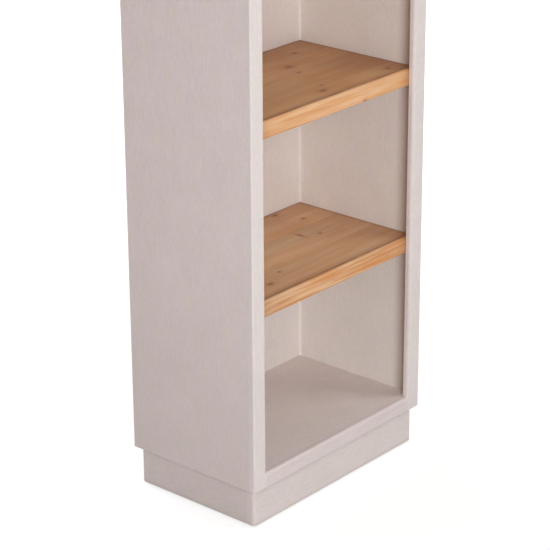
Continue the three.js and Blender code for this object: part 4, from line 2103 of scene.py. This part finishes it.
@dataclass(frozen=True)
class Lamp:
    """A soft square lamp: its place, what it looks at, its side in metres, its watts and its tint."""

    name: str
    place: tuple[float, float, float]
    target: tuple[float, float, float]
    size: float
    power: float
    colour: Colour = WHITE

    def hang(self) -> None:
        """Hangs the lamp."""
        data = bpy.data.lights.new(self.name, "AREA")
        data.size = self.size
        data.energy = self.power
        data.color = self.colour
        lamp = bpy.data.objects.new(self.name, data)
        lamp.location = self.place
        lamp.rotation_euler = (Vector(self.target) - lamp.location).to_track_quat("-Z", "Y").to_euler()
        bpy.context.collection.objects.link(lamp)


@dataclass
class Studio:
    """Pale floor, white backdrop and soft lamps: the low one at the front left does most."""

    floor_size: float = 60.0
    floor_shade: float = 0.42
    floor_roughness: float = 0.9
    near_glow: float = 0.72
    far_glow: float = 1.0
    glow_reach: Span = (0.7, 2.2)
    ambient: float = 0.27
    ambient_colour: Colour = (1.0, 0.96, 0.95)
    lamps: tuple[Lamp, ...] = (
        Lamp("front_left", (-2.5, -3.5, 1.45), (0, 0, 0.6), 2.2, 114),
        Lamp("front_right", (2.2, -2.6, 3.6), (0, 0, 0.7), 1.8, 47),
        Lamp("left", (-4.0, -0.8, 2.0), (0, 0, 0.9), 2.2, 8, (1.0, 0.78, 0.82)),
        Lamp("rear", (0.6, 3.8, 2.4), (0, 0, 0.9), 2.4, 100),
    )

    def build(self) -> None:
        """Sets the studio up."""
        scene = bpy.context.scene
        scene.view_settings.view_transform = "Standard"
        self.backdrop(scene)
        self.floor()
        for lamp in self.lamps:
            lamp.hang()

    def backdrop(self, scene: bpy.types.Scene) -> None:
        """Lights the world evenly and shows white to the camera and to reflections.

        Args:
            scene: the scene.
        """
        world = bpy.data.worlds.new("studio")
        scene.world = world
        world.use_nodes = True
        nodes = Nodes(world.node_tree)
        seen = nodes.seen()
        background = world.node_tree.nodes["Background"]
        nodes.feed(background.inputs["Strength"], nodes.spread(seen, (self.ambient, 1.0)))
        nodes.feed(background.inputs["Color"], nodes.blend(seen, self.ambient_colour, WHITE))

    def floor(self) -> None:
        """Lays the floor: white to the camera, but for the shadow near the bookcase."""
        clear_bench()
        bpy.ops.mesh.primitive_plane_add(size=self.floor_size)
        floor = bpy.context.object
        floor.name = "studio_floor"
        recipe = Recipe("studio_floor")
        away = recipe.vector("LENGTH", recipe.place)
        glow = recipe.between(away, self.glow_reach, (self.near_glow, self.far_glow))
        skin = {
            "Base Color": (*(self.floor_shade,) * 3, 1),
            "Roughness": self.floor_roughness,
            "Emission Color": (*WHITE, 1),
            "Emission Strength": recipe.maths("MULTIPLY", glow, recipe.seen()),
        }
        for name, value in skin.items():
            recipe.feed(recipe.skin.inputs[name], value)
        floor.data.materials.append(recipe.material)


def main() -> None:
    """Builds the pieces in order."""
    logging.basicConfig(level=logging.INFO, format="%(message)s")
    PhotoCamera().build()
    Studio().build()
    screws = ScrewBox()
    Case().build(screws)
    Shelves().build(screws)
    Plinth().build()
    WallFrame().build(screws)
    Hinges().build(screws)
    Castors().build(screws)
    PushLatch().build(screws)
    screws.pattern.scrap()


if __name__ == "__main__":
    main()
